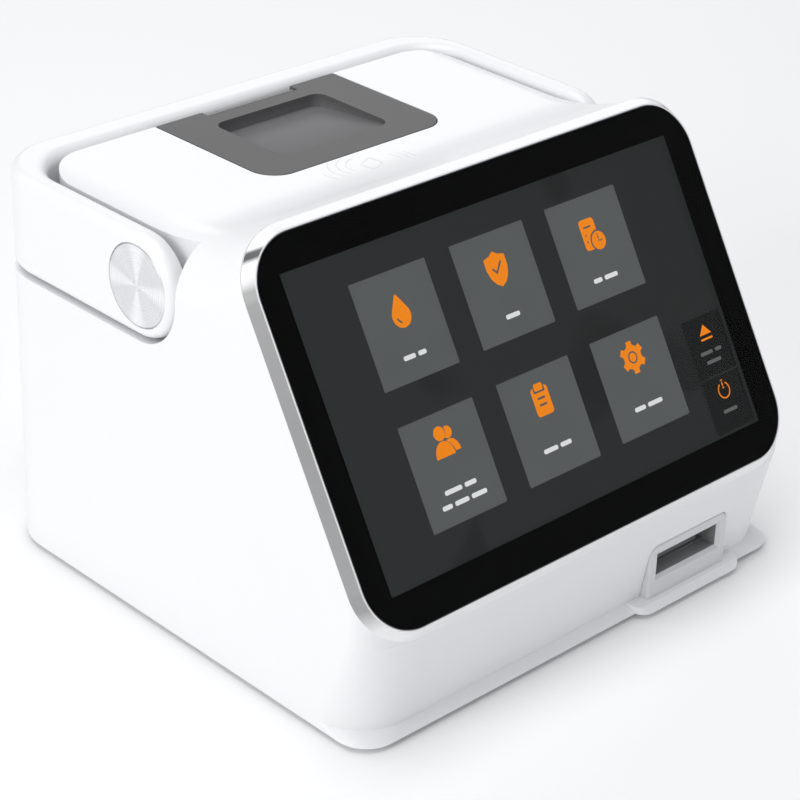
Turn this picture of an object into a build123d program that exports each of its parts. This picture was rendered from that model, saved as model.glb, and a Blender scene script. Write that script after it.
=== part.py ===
from build123d import *
import os
from math import atan2, cos, pi, radians, sin, sqrt, tan

# Rapid test reader: a moulded housing with a tilted touch screen, a fold-down carry handle, a printer
# under a door in the deck and a motor-driven cassette tray behind a slot in the front wall.
# Millimetres. X runs to the right, Y to the back, Z up. The origin is on the table, at the middle of
# the part's footprint.

# ---------------------------------------------------------------- driving dimensions
# Overall body
body_depth = 192.0
foot_height = 2.0            # rubber feet below the base tray
base_thickness = 2.6
wall = 2.6                   # moulded wall of the housing

# Screen: the glass plane starts at its lower edge and leans back
screen_tilt = 59.35          # from the table, in degrees
glass_width = 193.0
glass_height = 126.2
glass_round = 17.3
glass_thickness = 1.8
glass_edge_height = 42.7     # lower edge of the glass above the table
glass_edge_setback = 0.6     # lower edge of the glass behind the front of the part
frame_width = 3.3            # bevelled frame outside the glass
frame_depth = 3.5            # from the glass plane back to the housing
frame_flat = 0.5             # flat lip round the glass
glass_gap = 0.15
glass_seat = 4.0             # ledge of the frame under the glass
display_side = 7.0           # glass edge to the display's tray, at the sides
display_end = 8.35           # the same at the top and bottom
window_gap = 1.0             # between the display's tray and the housing's window

# Front wall, base flare and chin
wall_setback = 6.8           # foot of the front wall behind the glass edge
wall_round = 20.0            # vertical front corners of the housing at the seam
flare_setback = 3.1          # front of the base tray behind the glass edge
flare_round = 11.6
rear_round = 23.3
chin_width = 52.0
chin_length = 14.0

# Deck and the rise to the screen
deck_height = 139.9
rise_radius = 96.6
head_round = 19.5            # long rounded edges between the rise and the side walls
deck_side_margin = 10.6      # from the side wall to the deck's side, where the handle lies
deck_rear_gap = 2.8          # deck's rear edge to the handle's bar
deck_round = 17.5

# Carry handle
pivot_lead = 5.7             # pivot ahead of the foot of the rise
pivot_height = 122.4
handle_height = 35.5
arm_thickness = 8.0
grip_thickness = 13.0
grip_inner_round = 17.6
handle_edge = 3.4
arm_gap = 1.1                # between the arm and its pocket
pivot_cap_diameter = 28.0
pivot_cap_thickness = 2.0
pivot_cap_gap = 0.12
pivot_shank_diameter = 8.0
pivot_head_diameter = 16.0
pivot_head_thickness = 2.4
pivot_play = 0.05
pivot_boss_diameter = 22.0
pivot_boss_length = 5.0
pivot_nut_size = 13.0
pivot_nut_thickness = 5.0
washer_diameter = 20.0
washer_play = 0.2
grip_pocket_width = 138.0
grip_pocket_depth = 8.5
grip_pocket_margin = 6.6
grip_cover_thickness = 1.8
grip_rib_thickness = 1.6
grip_rib_count = 5
grip_screw_spacing = 112.0
rest_pad_size = 10.0
rest_pad_spacing = 120.0
rest_pad_play = 0.3
scoop_width = 92.0
scoop_depth = 12.5
scoop_height = 19.0

# Printer door
door_width = 80.0
door_thickness = 3.2
door_gap = 0.5
door_round = 9.5
door_notch_width = 40.0
door_notch_depth = 4.2
recess_width = 48.0
recess_front_gap = 11.5      # from the door's front edge to the finger recess
recess_rear_gap = 10.7       # from the finger recess to the door's rear edge
recess_depth = 4.6
recess_shallow = 0.9
recess_round = 4.5
recess_floor = 2.0           # pod's floor under the finger recess
hinge_drop = 2.4             # hinge axis below the deck
hinge_inset = 2.2            # hinge axis ahead of the deck's rear edge
hinge_pin_diameter = 2.0
hinge_play = 0.05
hinge_block_gap = 0.5

# Printer
platen_diameter = 10.0
platen_length = 58.0
platen_drop = 12.2           # platen axis below the deck
platen_setback = 8.0         # platen axis behind the door's front edge
platen_shaft_diameter = 4.0
cheek_thickness = 2.5
cheek_gap = 1.0
gear_gap = 0.8               # between the door's cheek and the gears
gear_module = 0.6
platen_gear_teeth = 16
drive_gear_teeth = 24
printer_gear_width = 2.8
mesh_backlash = 0.12
paper_width = 57.0
roll_play = 1.2              # between the full roll and the bucket's ends
roll_headroom = 2.1          # between the full roll and the door's pod
paper_bore = 12.7
bucket_wall = 2.0
bucket_gap = 1.0
bucket_cradle = 3.0          # bucket's floor is this much wider in radius than the roll
head_tilt = 30.0             # print head presses the platen from below, in front
head_gap = 0.3

# Cassette tray
slot_side = 49.8             # slot's middle to the right side
slot_height_above_table = 16.4
slot_width = 30.6
slot_height = 8.1
tray_side_gap = 0.5
tray_lid_gap = 0.55
tray_length = 110.0
tray_setback = 7.0           # tray front behind the slot panel at rest
cassette_length = 70.8
cassette_width = 20.8
cassette_depth = 4.6
tray_front_land = 4.0
tray_module = 1.0
pinion_teeth = 16
pinion_width = 4.0
rack_start = 12.0
guide_wall = 2.0
guide_floor = 2.2
guide_play = 0.3
panel_width = 39.4
panel_height = 20.8
panel_proud = 3.1            # slot panel ahead of the foot of the wall
panel_round = 3.5
panel_fit = 0.15
mouth_bevel = 1.2

# Rear connector panel
port_panel_width = 126.0
port_panel_height = 30.0
port_panel_bottom = 9.0
port_panel_inset = 1.2
port_panel_fit = 0.2

# Electronics
board_thickness = 1.6
board_height = 12.0
board_left_gap, board_right_gap = 17.8, 73.8     # to the sides of the body
board_front_gap, board_rear_gap = 62.0, 11.0     # to its front and rear
board_post_inset = 5.0
board_post_rear = 14.0

# Screws and feet
screw_diameter = 3.0
screw_head_diameter = 5.6
screw_head_height = 2.0
screw_length = 11.0
column_diameter = 8.0
column_height = 30.0
column_side, column_front, column_rear = 11.0, 32.0, 19.0
foot_diameter = 14.0
foot_recess = 0.8
foot_inset = 24.0
vent_width = 3.0
vent_length = 22.0
vent_pitch = 7.0
vent_count = 9

# Smaller fits and places
handle_inner_edge = 4.0
head_play = 0.3              # round the pivot bolt's head
cover_ledge = 2.0
cover_fit = 0.15
grip_screw_diameter = 2.5
screw_fit = 0.02
hinge_pin_length = 72.0
cheek_radius = 4.2
cheek_tail = 6.7             # cheek behind the platen's axis
head_pin_diameter = 2.4
frame_sheet = 1.2
bracket_slot_width = 36.0
motor_diameter = 14.0
motor_length = 20.0
paper_gap = 0.3
bucket_half = 30.0
bucket_post_x = 45.0
bucket_post_setback = 14.0
guide_lip = 1.2
rack_end_land = 2.0
pinion_shaft_diameter = 3.0
tray_motor_diameter = 20.0
tray_motor_height = 14.0
bracket_reach = 14.0         # motor bracket behind the pinion's axis
optics_gap = 1.2
optics_length = 30.0
optics_height = 24.0
lens_diameter = 12.0
panel_lift = 0.4             # slot panel ahead of the wall at its top edge
battery_inset = 10.0         # battery's left end from the board's left edge
battery_setback = 35.0       # battery's middle behind the front
battery_length, battery_width, battery_height = 74.0, 38.0, 19.0
network_x, network_width, network_height = -52.0, 16.0, 13.4
usb_places = (-28.0, -8.0)
usb_width, usb_height = 14.4, 7.0
inlet_x, inlet_width, inlet_height = 13.0, 9.6, 11.0
switch_x, switch_z = 44.0, 24.0
switch_width, switch_height = 19.2, 13.0
rocker_gap = 0.3
rocker_swing = 14.0
contactless_x, contactless_lead, contactless_drop = -6.0, 25.0, 5.9

# ---------------------------------------------------------------- worked out from them
half_width = glass_width / 2 + frame_width
front = -body_depth / 2
rear = body_depth / 2
glass_y = front + glass_edge_setback
seam = foot_height + base_thickness
tilt_cos, tilt_sin = cos(radians(screen_tilt)), sin(radians(screen_tilt))
frame_round = glass_round + frame_width


def screen_point(up, behind):
    """Y and Z of the point `up` the glass from its lower edge and `behind` its outer face."""
    y = glass_y + up * tilt_cos + behind * tilt_sin
    z = glass_edge_height + up * tilt_sin - behind * tilt_cos
    return y, z


def under_rise(y):
    """Height of the wall's underside where the deck curves up to the screen."""
    run = rise_start - y
    return deck_height + rise_radius - sqrt((rise_radius + wall) ** 2 - run * run)


crest_y, crest_z = screen_point(glass_height + frame_width, frame_depth)
crest_drop = crest_z - deck_height
rise_start = crest_y + sqrt(2 * rise_radius * crest_drop - crest_drop * crest_drop)
over_top = crest_z + 100.0   # above everything, for cuts from above
wall_foot = glass_y + wall_setback
arm_radius = handle_height / 2
pivot_y = rise_start - pivot_lead
ledge = pivot_height - arm_radius - arm_gap
deck_half = half_width - deck_side_margin
deck_back = rear - grip_thickness - deck_rear_gap
door_edge = rise_start
recess_start = door_edge + recess_front_gap
recess_end = deck_back - recess_rear_gap
hinge_y = deck_back - hinge_inset
hinge_z = deck_height - hinge_drop
platen_y = door_edge + platen_setback
platen_z = deck_height - platen_drop
panel_y = wall_foot - panel_proud
slot_centre = half_width - slot_side
display_width, display_height = glass_width - 2 * display_side, glass_height - 2 * display_end
tray_width = slot_width - 2 * tray_side_gap
tray_height = slot_height - 2 * tray_lid_gap
tray_front = panel_y + tray_setback
tray_low = slot_height_above_table - tray_height / 2
tray_high = tray_low + tray_height
pinion_radius = tray_module * pinion_teeth / 2
rack_pitch_x = slot_centre + tray_width / 2 - tray_module
pinion_x = rack_pitch_x + pinion_radius
pinion_y = tray_front + rack_start + 9.5
optics_y = pinion_y + bracket_reach + optics_gap + optics_length / 2
board_left, board_right = board_left_gap - half_width, half_width - board_right_gap
board_front, board_rear = front + board_front_gap, rear - board_rear_gap
battery_x, battery_y = board_left + battery_inset, front + battery_setback
column_places = [(x, y) for x in (column_side - half_width, half_width - column_side)
                 for y in (front + column_front, rear - column_rear)]
gear_x = platen_length / 2 + cheek_gap + cheek_thickness + gear_gap
frame_plate_x = platen_length / 2 + cheek_gap + 1.6
drive_z = platen_z - gear_module * (platen_gear_teeth + drive_gear_teeth) / 2
bucket_front = platen_y + motor_diameter / 2 + bucket_gap + bucket_wall
bucket_back = deck_back - wall - bucket_wall
bucket_top = deck_height - 7.0
bucket_post_y = bucket_front + bucket_post_setback
paper_diameter = bucket_back - bucket_front - 2 * roll_play
bucket_low = deck_height - recess_depth - recess_floor - roll_headroom - paper_diameter - paper_gap
contactless_place = (contactless_x, rise_start - contactless_lead, deck_height - contactless_drop)
rack_low, rack_high = tray_low + 1.1, tray_high - 1.9
rack_back = slot_centre + cassette_width / 2 + 1.2
tilt_of_rack_flank = tan(radians(20))
motor_low = tray_high + 4.1
guide_start = panel_y + 6.1
rocker_y = rear - port_panel_inset - 4.1
PORT_HOLES = (
    (network_x, board_height + board_thickness + network_height / 2, network_width, network_height),
    (usb_places[0], board_height + board_thickness + usb_height / 2, usb_width, usb_height),
    (usb_places[1], board_height + board_thickness + usb_height / 2, usb_width, usb_height),
    (inlet_x, board_height + board_thickness + inlet_height / 2, inlet_width, inlet_height),
    (switch_x, switch_z, switch_width, switch_height),
)


def screen_plane(behind):
    """Plane parallel to the glass; local x runs right, local y up the glass, local z outwards."""
    y, z = screen_point(0, behind)
    return Plane(origin=(0, y, z), x_dir=(1, 0, 0), z_dir=(0, -tilt_sin, tilt_cos))


# ---------------------------------------------------------------- shape helpers
def block(x0, x1, y0, y1, z0, z1):
    size = (x1 - x0, y1 - y0, z1 - z0)
    return Pos((x0 + x1) / 2, (y0 + y1) / 2, (z0 + z1) / 2) * Box(*size)


def rod(axis, radius, start, end, a, b):
    """Cylinder along an axis from start to end; a and b are its other two coordinates in X, Y, Z order."""
    middle, length = (start + end) / 2, abs(end - start)
    if axis == "x":
        return Pos(middle, a, b) * Rot(0, 90, 0) * Cylinder(radius, length)
    if axis == "y":
        return Pos(a, middle, b) * Rot(90, 0, 0) * Cylinder(radius, length)
    return Pos(a, b, middle) * Cylinder(radius, length)


def rounded_plate(plane, width, height, corner, thickness, across=0, up=0):
    """Rounded rectangle on a plane, raised by a thickness along its normal."""
    outline = Pos(across, up) * RectangleRounded(width, height, corner)
    return extrude(plane * outline, thickness)


def side_solid(points, half):
    """Side view outline of straight lines, from Y and Z, carried half to the left and half right."""
    return extrude(Plane.YZ * make_face(Polyline(*points, close=True)), half, both=True)


def plan_face(height, half, y_front, y_rear, corner_x, corner_y, corner_rear):
    """Plan outline at a height: front corners are elliptic, rear corners are round."""
    left, right = -half, half
    corner = {}
    for name, sx, sy, rx, ry in (
        ("fl", left, y_front, corner_x, corner_y),
        ("fr", right, y_front, corner_x, corner_y),
        ("rr", right, y_rear, corner_rear, corner_rear),
        ("rl", left, y_rear, corner_rear, corner_rear),
    ):
        inward_x = rx if sx < 0 else -rx
        inward_y = ry if sy == y_front else -ry
        corner[name] = (sx + inward_x, sy + inward_y, rx, ry)

    def arc(name, start):
        cx, cy, rx, ry = corner[name]
        return EllipticalCenterArc((cx, cy), rx, ry, start, arc_size=90)

    def line(a, b):
        return Line(a @ 1, b @ 0)

    arcs = [arc("fl", 180), arc("fr", 270), arc("rr", 0), arc("rl", 90)]
    edges = []
    for here, following in zip(arcs, arcs[1:] + arcs[:1]):
        edges += [here, line(here, following)]
    return Pos(0, 0, height) * make_face(edges)


def gear_face(module, teeth, backlash=0.0):
    """Involute gear outline about the origin, 20 degree pressure angle."""
    pressure = radians(20)
    pitch = module * teeth / 2
    base, outer, root = pitch * cos(pressure), pitch + module, pitch - 1.25 * module
    half_tooth = pi / 2 / teeth - backlash / 2 / pitch

    def flank(radius):
        """Angle between the tooth's middle and its flank at a radius."""
        def involute(r):
            turn = sqrt(max(r * r / base / base - 1, 0))
            return turn - atan2(turn, 1)
        return half_tooth + involute(pitch) - involute(max(radius, base))

    start = max(root, base)
    radii = [start + (outer - start) * i / 3 for i in range(4)]
    points = []
    for tooth in range(teeth):
        middle = 2 * pi * tooth / teeth
        side = [(root, -flank(root))] + [(r, -flank(r)) for r in radii]
        for r, angle in side + [(r, -a) for r, a in reversed(side)]:
            points.append((r * cos(middle + angle), r * sin(middle + angle)))
    return make_face(Polyline(*points, close=True))


def screw(x, y, seat, length):
    """Screw driven upwards; the top of its head bears on `seat`."""
    head = rod("z", screw_head_diameter / 2, seat - screw_head_height, seat, x, y)
    shank = rod("z", screw_diameter / 2, seat, seat + length, x, y)
    drive = rod("z", 1.2, seat - screw_head_height, seat - screw_head_height + 1.1, x, y)
    return head + shank - drive


# ---------------------------------------------------------------- housing
def cross(p, q, r, s):
    """Crossing of line p-q with line r-s in a plane."""
    ax, ay, bx, by = q[0] - p[0], q[1] - p[1], s[0] - r[0], s[1] - r[1]
    t = ((r[0] - p[0]) * by - (r[1] - p[1]) * bx) / (ax * by - ay * bx)
    return p[0] + ax * t, p[1] + ay * t


def front_wall_line(inset):
    """Two points of the leaning front wall, moved inwards."""
    foot, brow = (wall_foot, seam), screen_point(-frame_width, frame_depth)
    run, climb = brow[0] - foot[0], brow[1] - foot[1]
    length = sqrt(run * run + climb * climb)
    shift_y, shift_z = inset * climb / length, -inset * run / length
    return (foot[0] + shift_y, foot[1] + shift_z), (brow[0] + shift_y, brow[1] + shift_z)


def housing_form(inset, floor):
    """Whole outer form of the housing, moved inwards by `inset` and open to `floor`."""
    half = half_width - inset
    deck = deck_height - inset
    seat = frame_depth + inset
    centre = (rise_start, deck_height + rise_radius)
    reach = rise_radius + inset

    # Where the tilted face meets the concave rise
    low_y, low_z = screen_point(0, seat)
    dy, dz = low_y - centre[0], low_z - centre[1]
    along = dy * tilt_cos + dz * tilt_sin
    up = -along - sqrt(along * along - (dy * dy + dz * dz - reach * reach))
    top = screen_point(up, seat)
    foot_up = (floor - low_z) / tilt_sin
    swept = atan2(top[1] - centre[1], top[0] - centre[0])
    middle = (swept + (-pi / 2)) / 2
    mid_point = (centre[0] + reach * cos(middle), centre[1] + reach * sin(middle))

    back = rear - inset
    outline = [
        Line(screen_point(foot_up, seat), top),
        ThreePointArc(top, mid_point, (rise_start, deck)),
        Line((rise_start, deck), (back, deck)),
        Line((back, deck), (back, floor)),
        Line((back, floor), screen_point(foot_up, seat)),
    ]
    side = extrude(Plane.YZ * make_face(outline), half, both=True)
    long_edges = [
        e for e in side.edges()
        if abs(abs(e.center().X) - half) < 0.01 and e.center().Z > deck - 0.01
    ]
    side = fillet(long_edges, head_round - inset)

    # Plan outline: the front wall leans forwards from the seam up to the brow under the screen
    wall_low, wall_high = front_wall_line(inset)
    brow = cross(wall_low, wall_high, screen_point(0, seat), screen_point(1, seat))
    foot_y = cross(wall_low, wall_high, (0, floor), (1, floor))[0]
    low = plan_face(floor, half, foot_y, back, wall_round - inset, wall_round - inset, rear_round - inset)
    corner = frame_round - inset
    high = plan_face(brow[1], half, brow[0], back, corner, corner * tilt_cos, rear_round - inset)
    skirt = loft([low, high], ruled=True)
    trunk = extrude(high, over_top - brow[1])
    return side & (skirt + trunk)


def deck_outline(shrink):
    """Prism of the deck between the handle's arms."""
    half, back, corner = deck_half - shrink, deck_back - shrink, deck_round - shrink
    prism = block(-half, half, back - 2 * body_depth, back, 0, over_top)
    rear_edges = [e for e in prism.edges().filter_by(Axis.Z) if e.center().Y > back - 1]
    return fillet(rear_edges, corner)


def handle_pocket(grow):
    """Space that the housing leaves for the handle, round the deck."""
    reach = arm_radius + arm_gap + grow
    low = pivot_height - reach
    turn = radians(225)
    bend = (pivot_y + reach * cos(turn), pivot_height + reach * sin(turn))
    outline = [
        Line((pivot_y - reach, over_top), (pivot_y - reach, pivot_height)),
        ThreePointArc((pivot_y - reach, pivot_height), bend, (pivot_y, low)),
        Line((pivot_y, low), (rear + 30, low)),
        Line((rear + 30, low), (rear + 30, over_top)),
        Line((rear + 30, over_top), (pivot_y - reach, over_top)),
    ]
    pocket = extrude(Plane.YZ * make_face(outline), half_width + 20, both=True)
    return pocket - deck_outline(grow)


def finger_scoop(grow):
    """Hollow in the rear wall under the handle's bar."""
    low = ledge - scoop_height - grow
    inner = rear - scoop_depth - grow
    outline = [
        Line((rear + 5, low), (rear, low)),
        ThreePointArc((rear, low), (inner + 0.3 * scoop_depth, low + 0.32 * scoop_height),
                      (inner, ledge - 4)),
        Line((inner, ledge - 4), (inner, ledge + 5 * (grow == 0))),
        Line((inner, ledge + 5 * (grow == 0)), (rear + 5, ledge + 5 * (grow == 0))),
        Line((rear + 5, ledge + 5 * (grow == 0)), (rear + 5, low)),
    ]
    return extrude(Plane.YZ * make_face(outline), scoop_width / 2 + grow, both=True)


def door_opening():
    """Cut in the deck for the printer door, through its rear edge."""
    width = door_width + 2 * door_gap
    length = deck_back - door_edge + door_gap + 10
    y0 = door_edge - door_gap
    prism = block(-width / 2, width / 2, y0, y0 + length, hinge_z - 4.2, deck_height + 5)
    front_edges = [e for e in prism.edges().filter_by(Axis.Z) if e.center().Y < y0 + 1]
    return fillet(front_edges, door_round + door_gap)


def hinge_block():
    """Barrel in the door's notch that holds the hinge pin, on the deck's rear wall."""
    half = door_notch_width / 2 - hinge_block_gap
    barrel = rod("x", hinge_drop - hinge_block_gap, -half, half, hinge_y, hinge_z)
    web = block(-half, half, deck_back - wall, deck_back, hinge_z - 8, hinge_z)
    return barrel + web


def build_housing():
    outer = housing_form(0, seam) - handle_pocket(0) - finger_scoop(0)
    inner = housing_form(wall, seam - 1) - handle_pocket(wall) - finger_scoop(wall)
    shell = outer - inner

    # Window behind the glass for the display, and the deck opening for the printer door
    window = rounded_plate(screen_plane(frame_depth + wall + 1), display_width + 2 * window_gap,
                           display_height + 2 * window_gap, 2, wall + 2, 0, glass_height / 2)
    shell = shell - window - door_opening()
    shell += hinge_block()
    shell -= rod("x", hinge_pin_diameter / 2 + 0.02, -60, 60, hinge_y, hinge_z)

    # Screw columns tied to the side walls
    for x, y in column_places:
        side = 1 if x > 0 else -1
        column = rod("z", column_diameter / 2, seam, seam + column_height, x, y)
        tie = block(min(x, side * (half_width - wall / 2)), max(x, side * (half_width - wall / 2)),
                    y - 1.0, y + 1.0, seam, seam + column_height)
        shell = shell + column + tie
        shell -= rod("z", screw_diameter / 2 + 0.02, seam - 1, seam + screw_length, x, y)

    # Pivot bosses behind the handle pocket, with their bores
    for side in (-1, 1):
        face = side * (deck_half - wall)
        shell += rod("x", pivot_boss_diameter / 2, face - side * pivot_boss_length, face + side * 0.5,
                     pivot_y, pivot_height)
        shell -= rod("x", pivot_shank_diameter / 2 + 0.02, side * 70, side * (deck_half + 1),
                     pivot_y, pivot_height)

    # Posts under the deck for the paper bucket, the printer frame and the contactless board
    for side in (-1, 1):
        shell += rod("z", 3.0, bucket_top, deck_height - 1, side * bucket_post_x, bucket_post_y)
        shell -= rod("z", screw_diameter / 2 + screw_fit, bucket_top - 1, bucket_top + 4.4,
                     side * bucket_post_x, bucket_post_y)
    for x, y, z in frame_post_places():
        shell += rod("z", 3.0, z, under_rise(y) + wall / 2, x, y)
    x, y, z = contactless_place
    for dx in (-15, 15):
        shell += rod("z", 2.5, z, under_rise(y) + wall / 2, x + dx, y)

    # Front wall opening for the slot panel
    shell -= slot_panel_outline(panel_fit)

    # Rear opening for the connector panel and cooling slots above it
    shell -= block(-port_panel_width / 2, port_panel_width / 2, rear - 6, rear + 5,
                   port_panel_bottom, port_panel_bottom + port_panel_height)
    for i in range(vent_count):
        x = (i - (vent_count - 1) / 2) * vent_pitch
        slot = rod("y", vent_width / 2, rear - 6, rear + 5, x, 50) + rod(
            "y", vent_width / 2, rear - 6, rear + 5, x, 50 + vent_length)
        shell = shell - slot - block(x - vent_width / 2, x + vent_width / 2, rear - 6, rear + 5,
                                     50, 50 + vent_length)
    return shell


# ---------------------------------------------------------------- base tray
def build_base():
    flare = plan_face(foot_height, half_width, glass_y + flare_setback, rear, flare_round, flare_round,
                      rear_round)
    top = plan_face(seam, half_width, wall_foot, rear, wall_round, wall_round, rear_round)
    base = loft([flare, top], ruled=True)
    chin = block(slot_centre - chin_width / 2, slot_centre + chin_width / 2, front, front + chin_length,
                 foot_height, seam)
    chin = chamfer(chin.edges().filter_by(Axis.X).sort_by(Axis.Y)[:2].sort_by(Axis.Z)[-1:], 2.0)
    chin_sides = [e for e in chin.edges().filter_by(Axis.Z) if e.center().Y < front + 4]
    chin = fillet(chin_sides, 5.0)
    base += chin

    # Upstand inside the housing wall
    lip_out = plan_face(seam, half_width - wall - 0.25, wall_foot + wall + 0.5, rear - wall - 0.25,
                        wall_round - wall, wall_round - wall, rear_round - wall - 0.25)
    lip_in = plan_face(seam, half_width - wall - 2.0, wall_foot + wall + 2.3, rear - wall - 2.0,
                       wall_round - wall - 1.8, wall_round - wall - 1.8, rear_round - wall - 2.0)
    upstand = extrude(lip_out, 3.4) - extrude(lip_in, 3.4)
    gap = block(slot_centre - panel_width / 2 - 1, slot_centre + panel_width / 2 + 1, front, front + 22,
                seam, seam + 5)
    for x, y in column_places:
        upstand -= rod("z", column_diameter / 2 + 0.4, seam - 1, seam + 5, x, y)
        side = 1 if x > 0 else -1
        upstand -= block(min(x, side * half_width), max(x, side * half_width), y - 1.4, y + 1.4,
                         seam, seam + 5)
    upstand -= block(-port_panel_width / 2 - 1, port_panel_width / 2 + 1, rear - 8, rear, seam, seam + 5)
    base = base + (upstand - gap)

    # Screw holes with room for the heads, foot seats and vents
    for x, y in column_places:
        base -= rod("z", screw_diameter / 2 + 0.2, 0, seam + 1, x, y)
        base -= rod("z", screw_head_diameter / 2 + 0.3, 0, foot_height + base_thickness - 1.2, x, y)
    for x, y in foot_places():
        base -= rod("z", foot_diameter / 2 + 0.1, 0, foot_height + foot_recess, x, y)
    half_vent = vent_width / 2
    for row in (-1, 1):
        y = (board_front + board_rear) / 2 + row * 14
        for i in range(vent_count):
            x = (board_left + board_right) / 2 + (i - (vent_count - 1) / 2) * vent_pitch
            base -= block(x - half_vent, x + half_vent, y - 9, y + 9, 0, seam + 1)

    # Posts for the main board and the tray guide, and the lower bearing of the pinion's shaft
    for x, y in board_post_places():
        base += rod("z", 3.0, seam, board_height, x, y)
        base -= rod("z", 1.5 + screw_fit, seam + 1, board_height + 1, x, y)
    base += rod("z", 4.0, seam, rack_low - 1.0, pinion_x, pinion_y)
    base -= rod("z", pinion_shaft_diameter / 2 + hinge_play, seam + 1.7, rack_low + 1, pinion_x, pinion_y)
    for x, y in guide_post_places():
        base += rod("z", 3.0, seam, tray_low - guide_play - guide_floor, x, y)
    return base


def foot_places():
    return [(x, y) for x in (-half_width + foot_inset, half_width - foot_inset)
            for y in (front + foot_inset + 6, rear - foot_inset)]


def board_post_places():
    return [(x, y) for x in (board_left + board_post_inset, board_right - board_post_inset)
            for y in (board_front + board_post_inset, board_rear - board_post_rear)]


def guide_post_places():
    return [(slot_centre + dx, y) for dx in (-10, 10)
            for y in (tray_front + 8.7, tray_front + tray_length - 7.3)]


def build_feet():
    feet = []
    for x, y in foot_places():
        foot = rod("z", foot_diameter / 2, 0, foot_height + foot_recess, x, y)
        feet.append(chamfer(foot.edges().sort_by(Axis.Z)[0], 0.6))
    return Compound(feet)


def build_base_screws():
    return Compound([screw(x, y, seam - 1.2, screw_length) for x, y in column_places])


# ---------------------------------------------------------------- screen
def build_frame():
    width, height = glass_width + 2 * glass_gap, glass_height + 2 * glass_gap
    middle = glass_height / 2
    back = screen_plane(frame_depth)
    outer = back * (Pos(0, middle) * RectangleRounded(glass_width + 2 * frame_width,
                                                      glass_height + 2 * frame_width, frame_round))
    face = screen_plane(0) * (Pos(0, middle) * RectangleRounded(
        width + 2 * frame_flat, height + 2 * frame_flat, glass_round + glass_gap + frame_flat))
    ring = loft([outer, face], ruled=True)
    ring -= rounded_plate(screen_plane(glass_thickness), width, height, glass_round + glass_gap,
                          glass_thickness + 1, 0, middle)
    ring -= rounded_plate(screen_plane(frame_depth + 1), glass_width - 2 * glass_seat,
                          glass_height - 2 * glass_seat, glass_round - 2 * glass_seat, frame_depth + 2,
                          0, middle)
    return ring


def build_glass():
    return rounded_plate(screen_plane(glass_thickness), glass_width, glass_height, glass_round,
                         glass_thickness, 0, glass_height / 2)


def build_display():
    """Display panel: a metal tray with the picture glass standing a little proud of it."""
    middle = glass_height / 2
    tray = rounded_plate(screen_plane(6.8), display_width, display_height, 1.5, 4.2, 0, middle)
    picture = rounded_plate(screen_plane(2.6), display_width - 4, display_height - 3, 0.5, 0.7, 0, middle)
    return tray + picture


def build_display_bracket():
    """Pressed sheet behind the display, hooked over its sides, with ears that meet the housing."""
    middle = glass_height / 2
    half = display_width / 2 + 4.5
    sheet = rounded_plate(screen_plane(8.0), 2 * half, display_height + 6, 4, 1.2, 0, middle)
    for slot in (-1, 0, 1):
        sheet -= rounded_plate(screen_plane(9.0), bracket_slot_width, display_height - 50, 5, 3,
                               slot * (bracket_slot_width + 16), middle)
    for across in (2.1 - half, half - 2.1):
        for up in (14, glass_height - 14):
            sheet += rounded_plate(screen_plane(6.8), 4, 8, 1, 0.7, across, up)
    return sheet


def build_display_board():
    middle = glass_height / 2
    board = rounded_plate(screen_plane(11.2), 90, 40, 2, 1.6, 0, middle)
    for across in (-26, 26):
        board += extrude(screen_plane(9.6) * (Pos(across, middle) * Circle(3)), 1.6)
    return board


# ---------------------------------------------------------------- carry handle
def handle_edge_groups(shape, inner_half, inner_back):
    """The handle's outer and inner edge loops, without the smooth seams between its faces."""
    top, low = pivot_height + handle_height / 2, pivot_height - handle_height / 2
    outer, inner = [], []
    for edge in shape.edges():
        middle = edge.center()
        level = abs(middle.Z - top) < 0.01 or abs(middle.Z - low) < 0.01
        if edge.geom_type == GeomType.CIRCLE and level:
            (outer if abs(edge.radius - rear_round) < 0.01 else inner).append(edge)
        elif abs(abs(middle.X) - half_width) < 0.01 and abs(edge.tangent_at(0).Z) < 0.999:
            outer.append(edge)
        elif abs(abs(middle.X) - inner_half) < 0.01 and abs(edge.tangent_at(0).Z) < 0.999:
            inner.append(edge)
        elif level and abs(middle.Y - rear) < 0.01:
            outer.append(edge)
        elif level and abs(middle.Y - inner_back) < 0.01:
            inner.append(edge)
    return outer, inner


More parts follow.
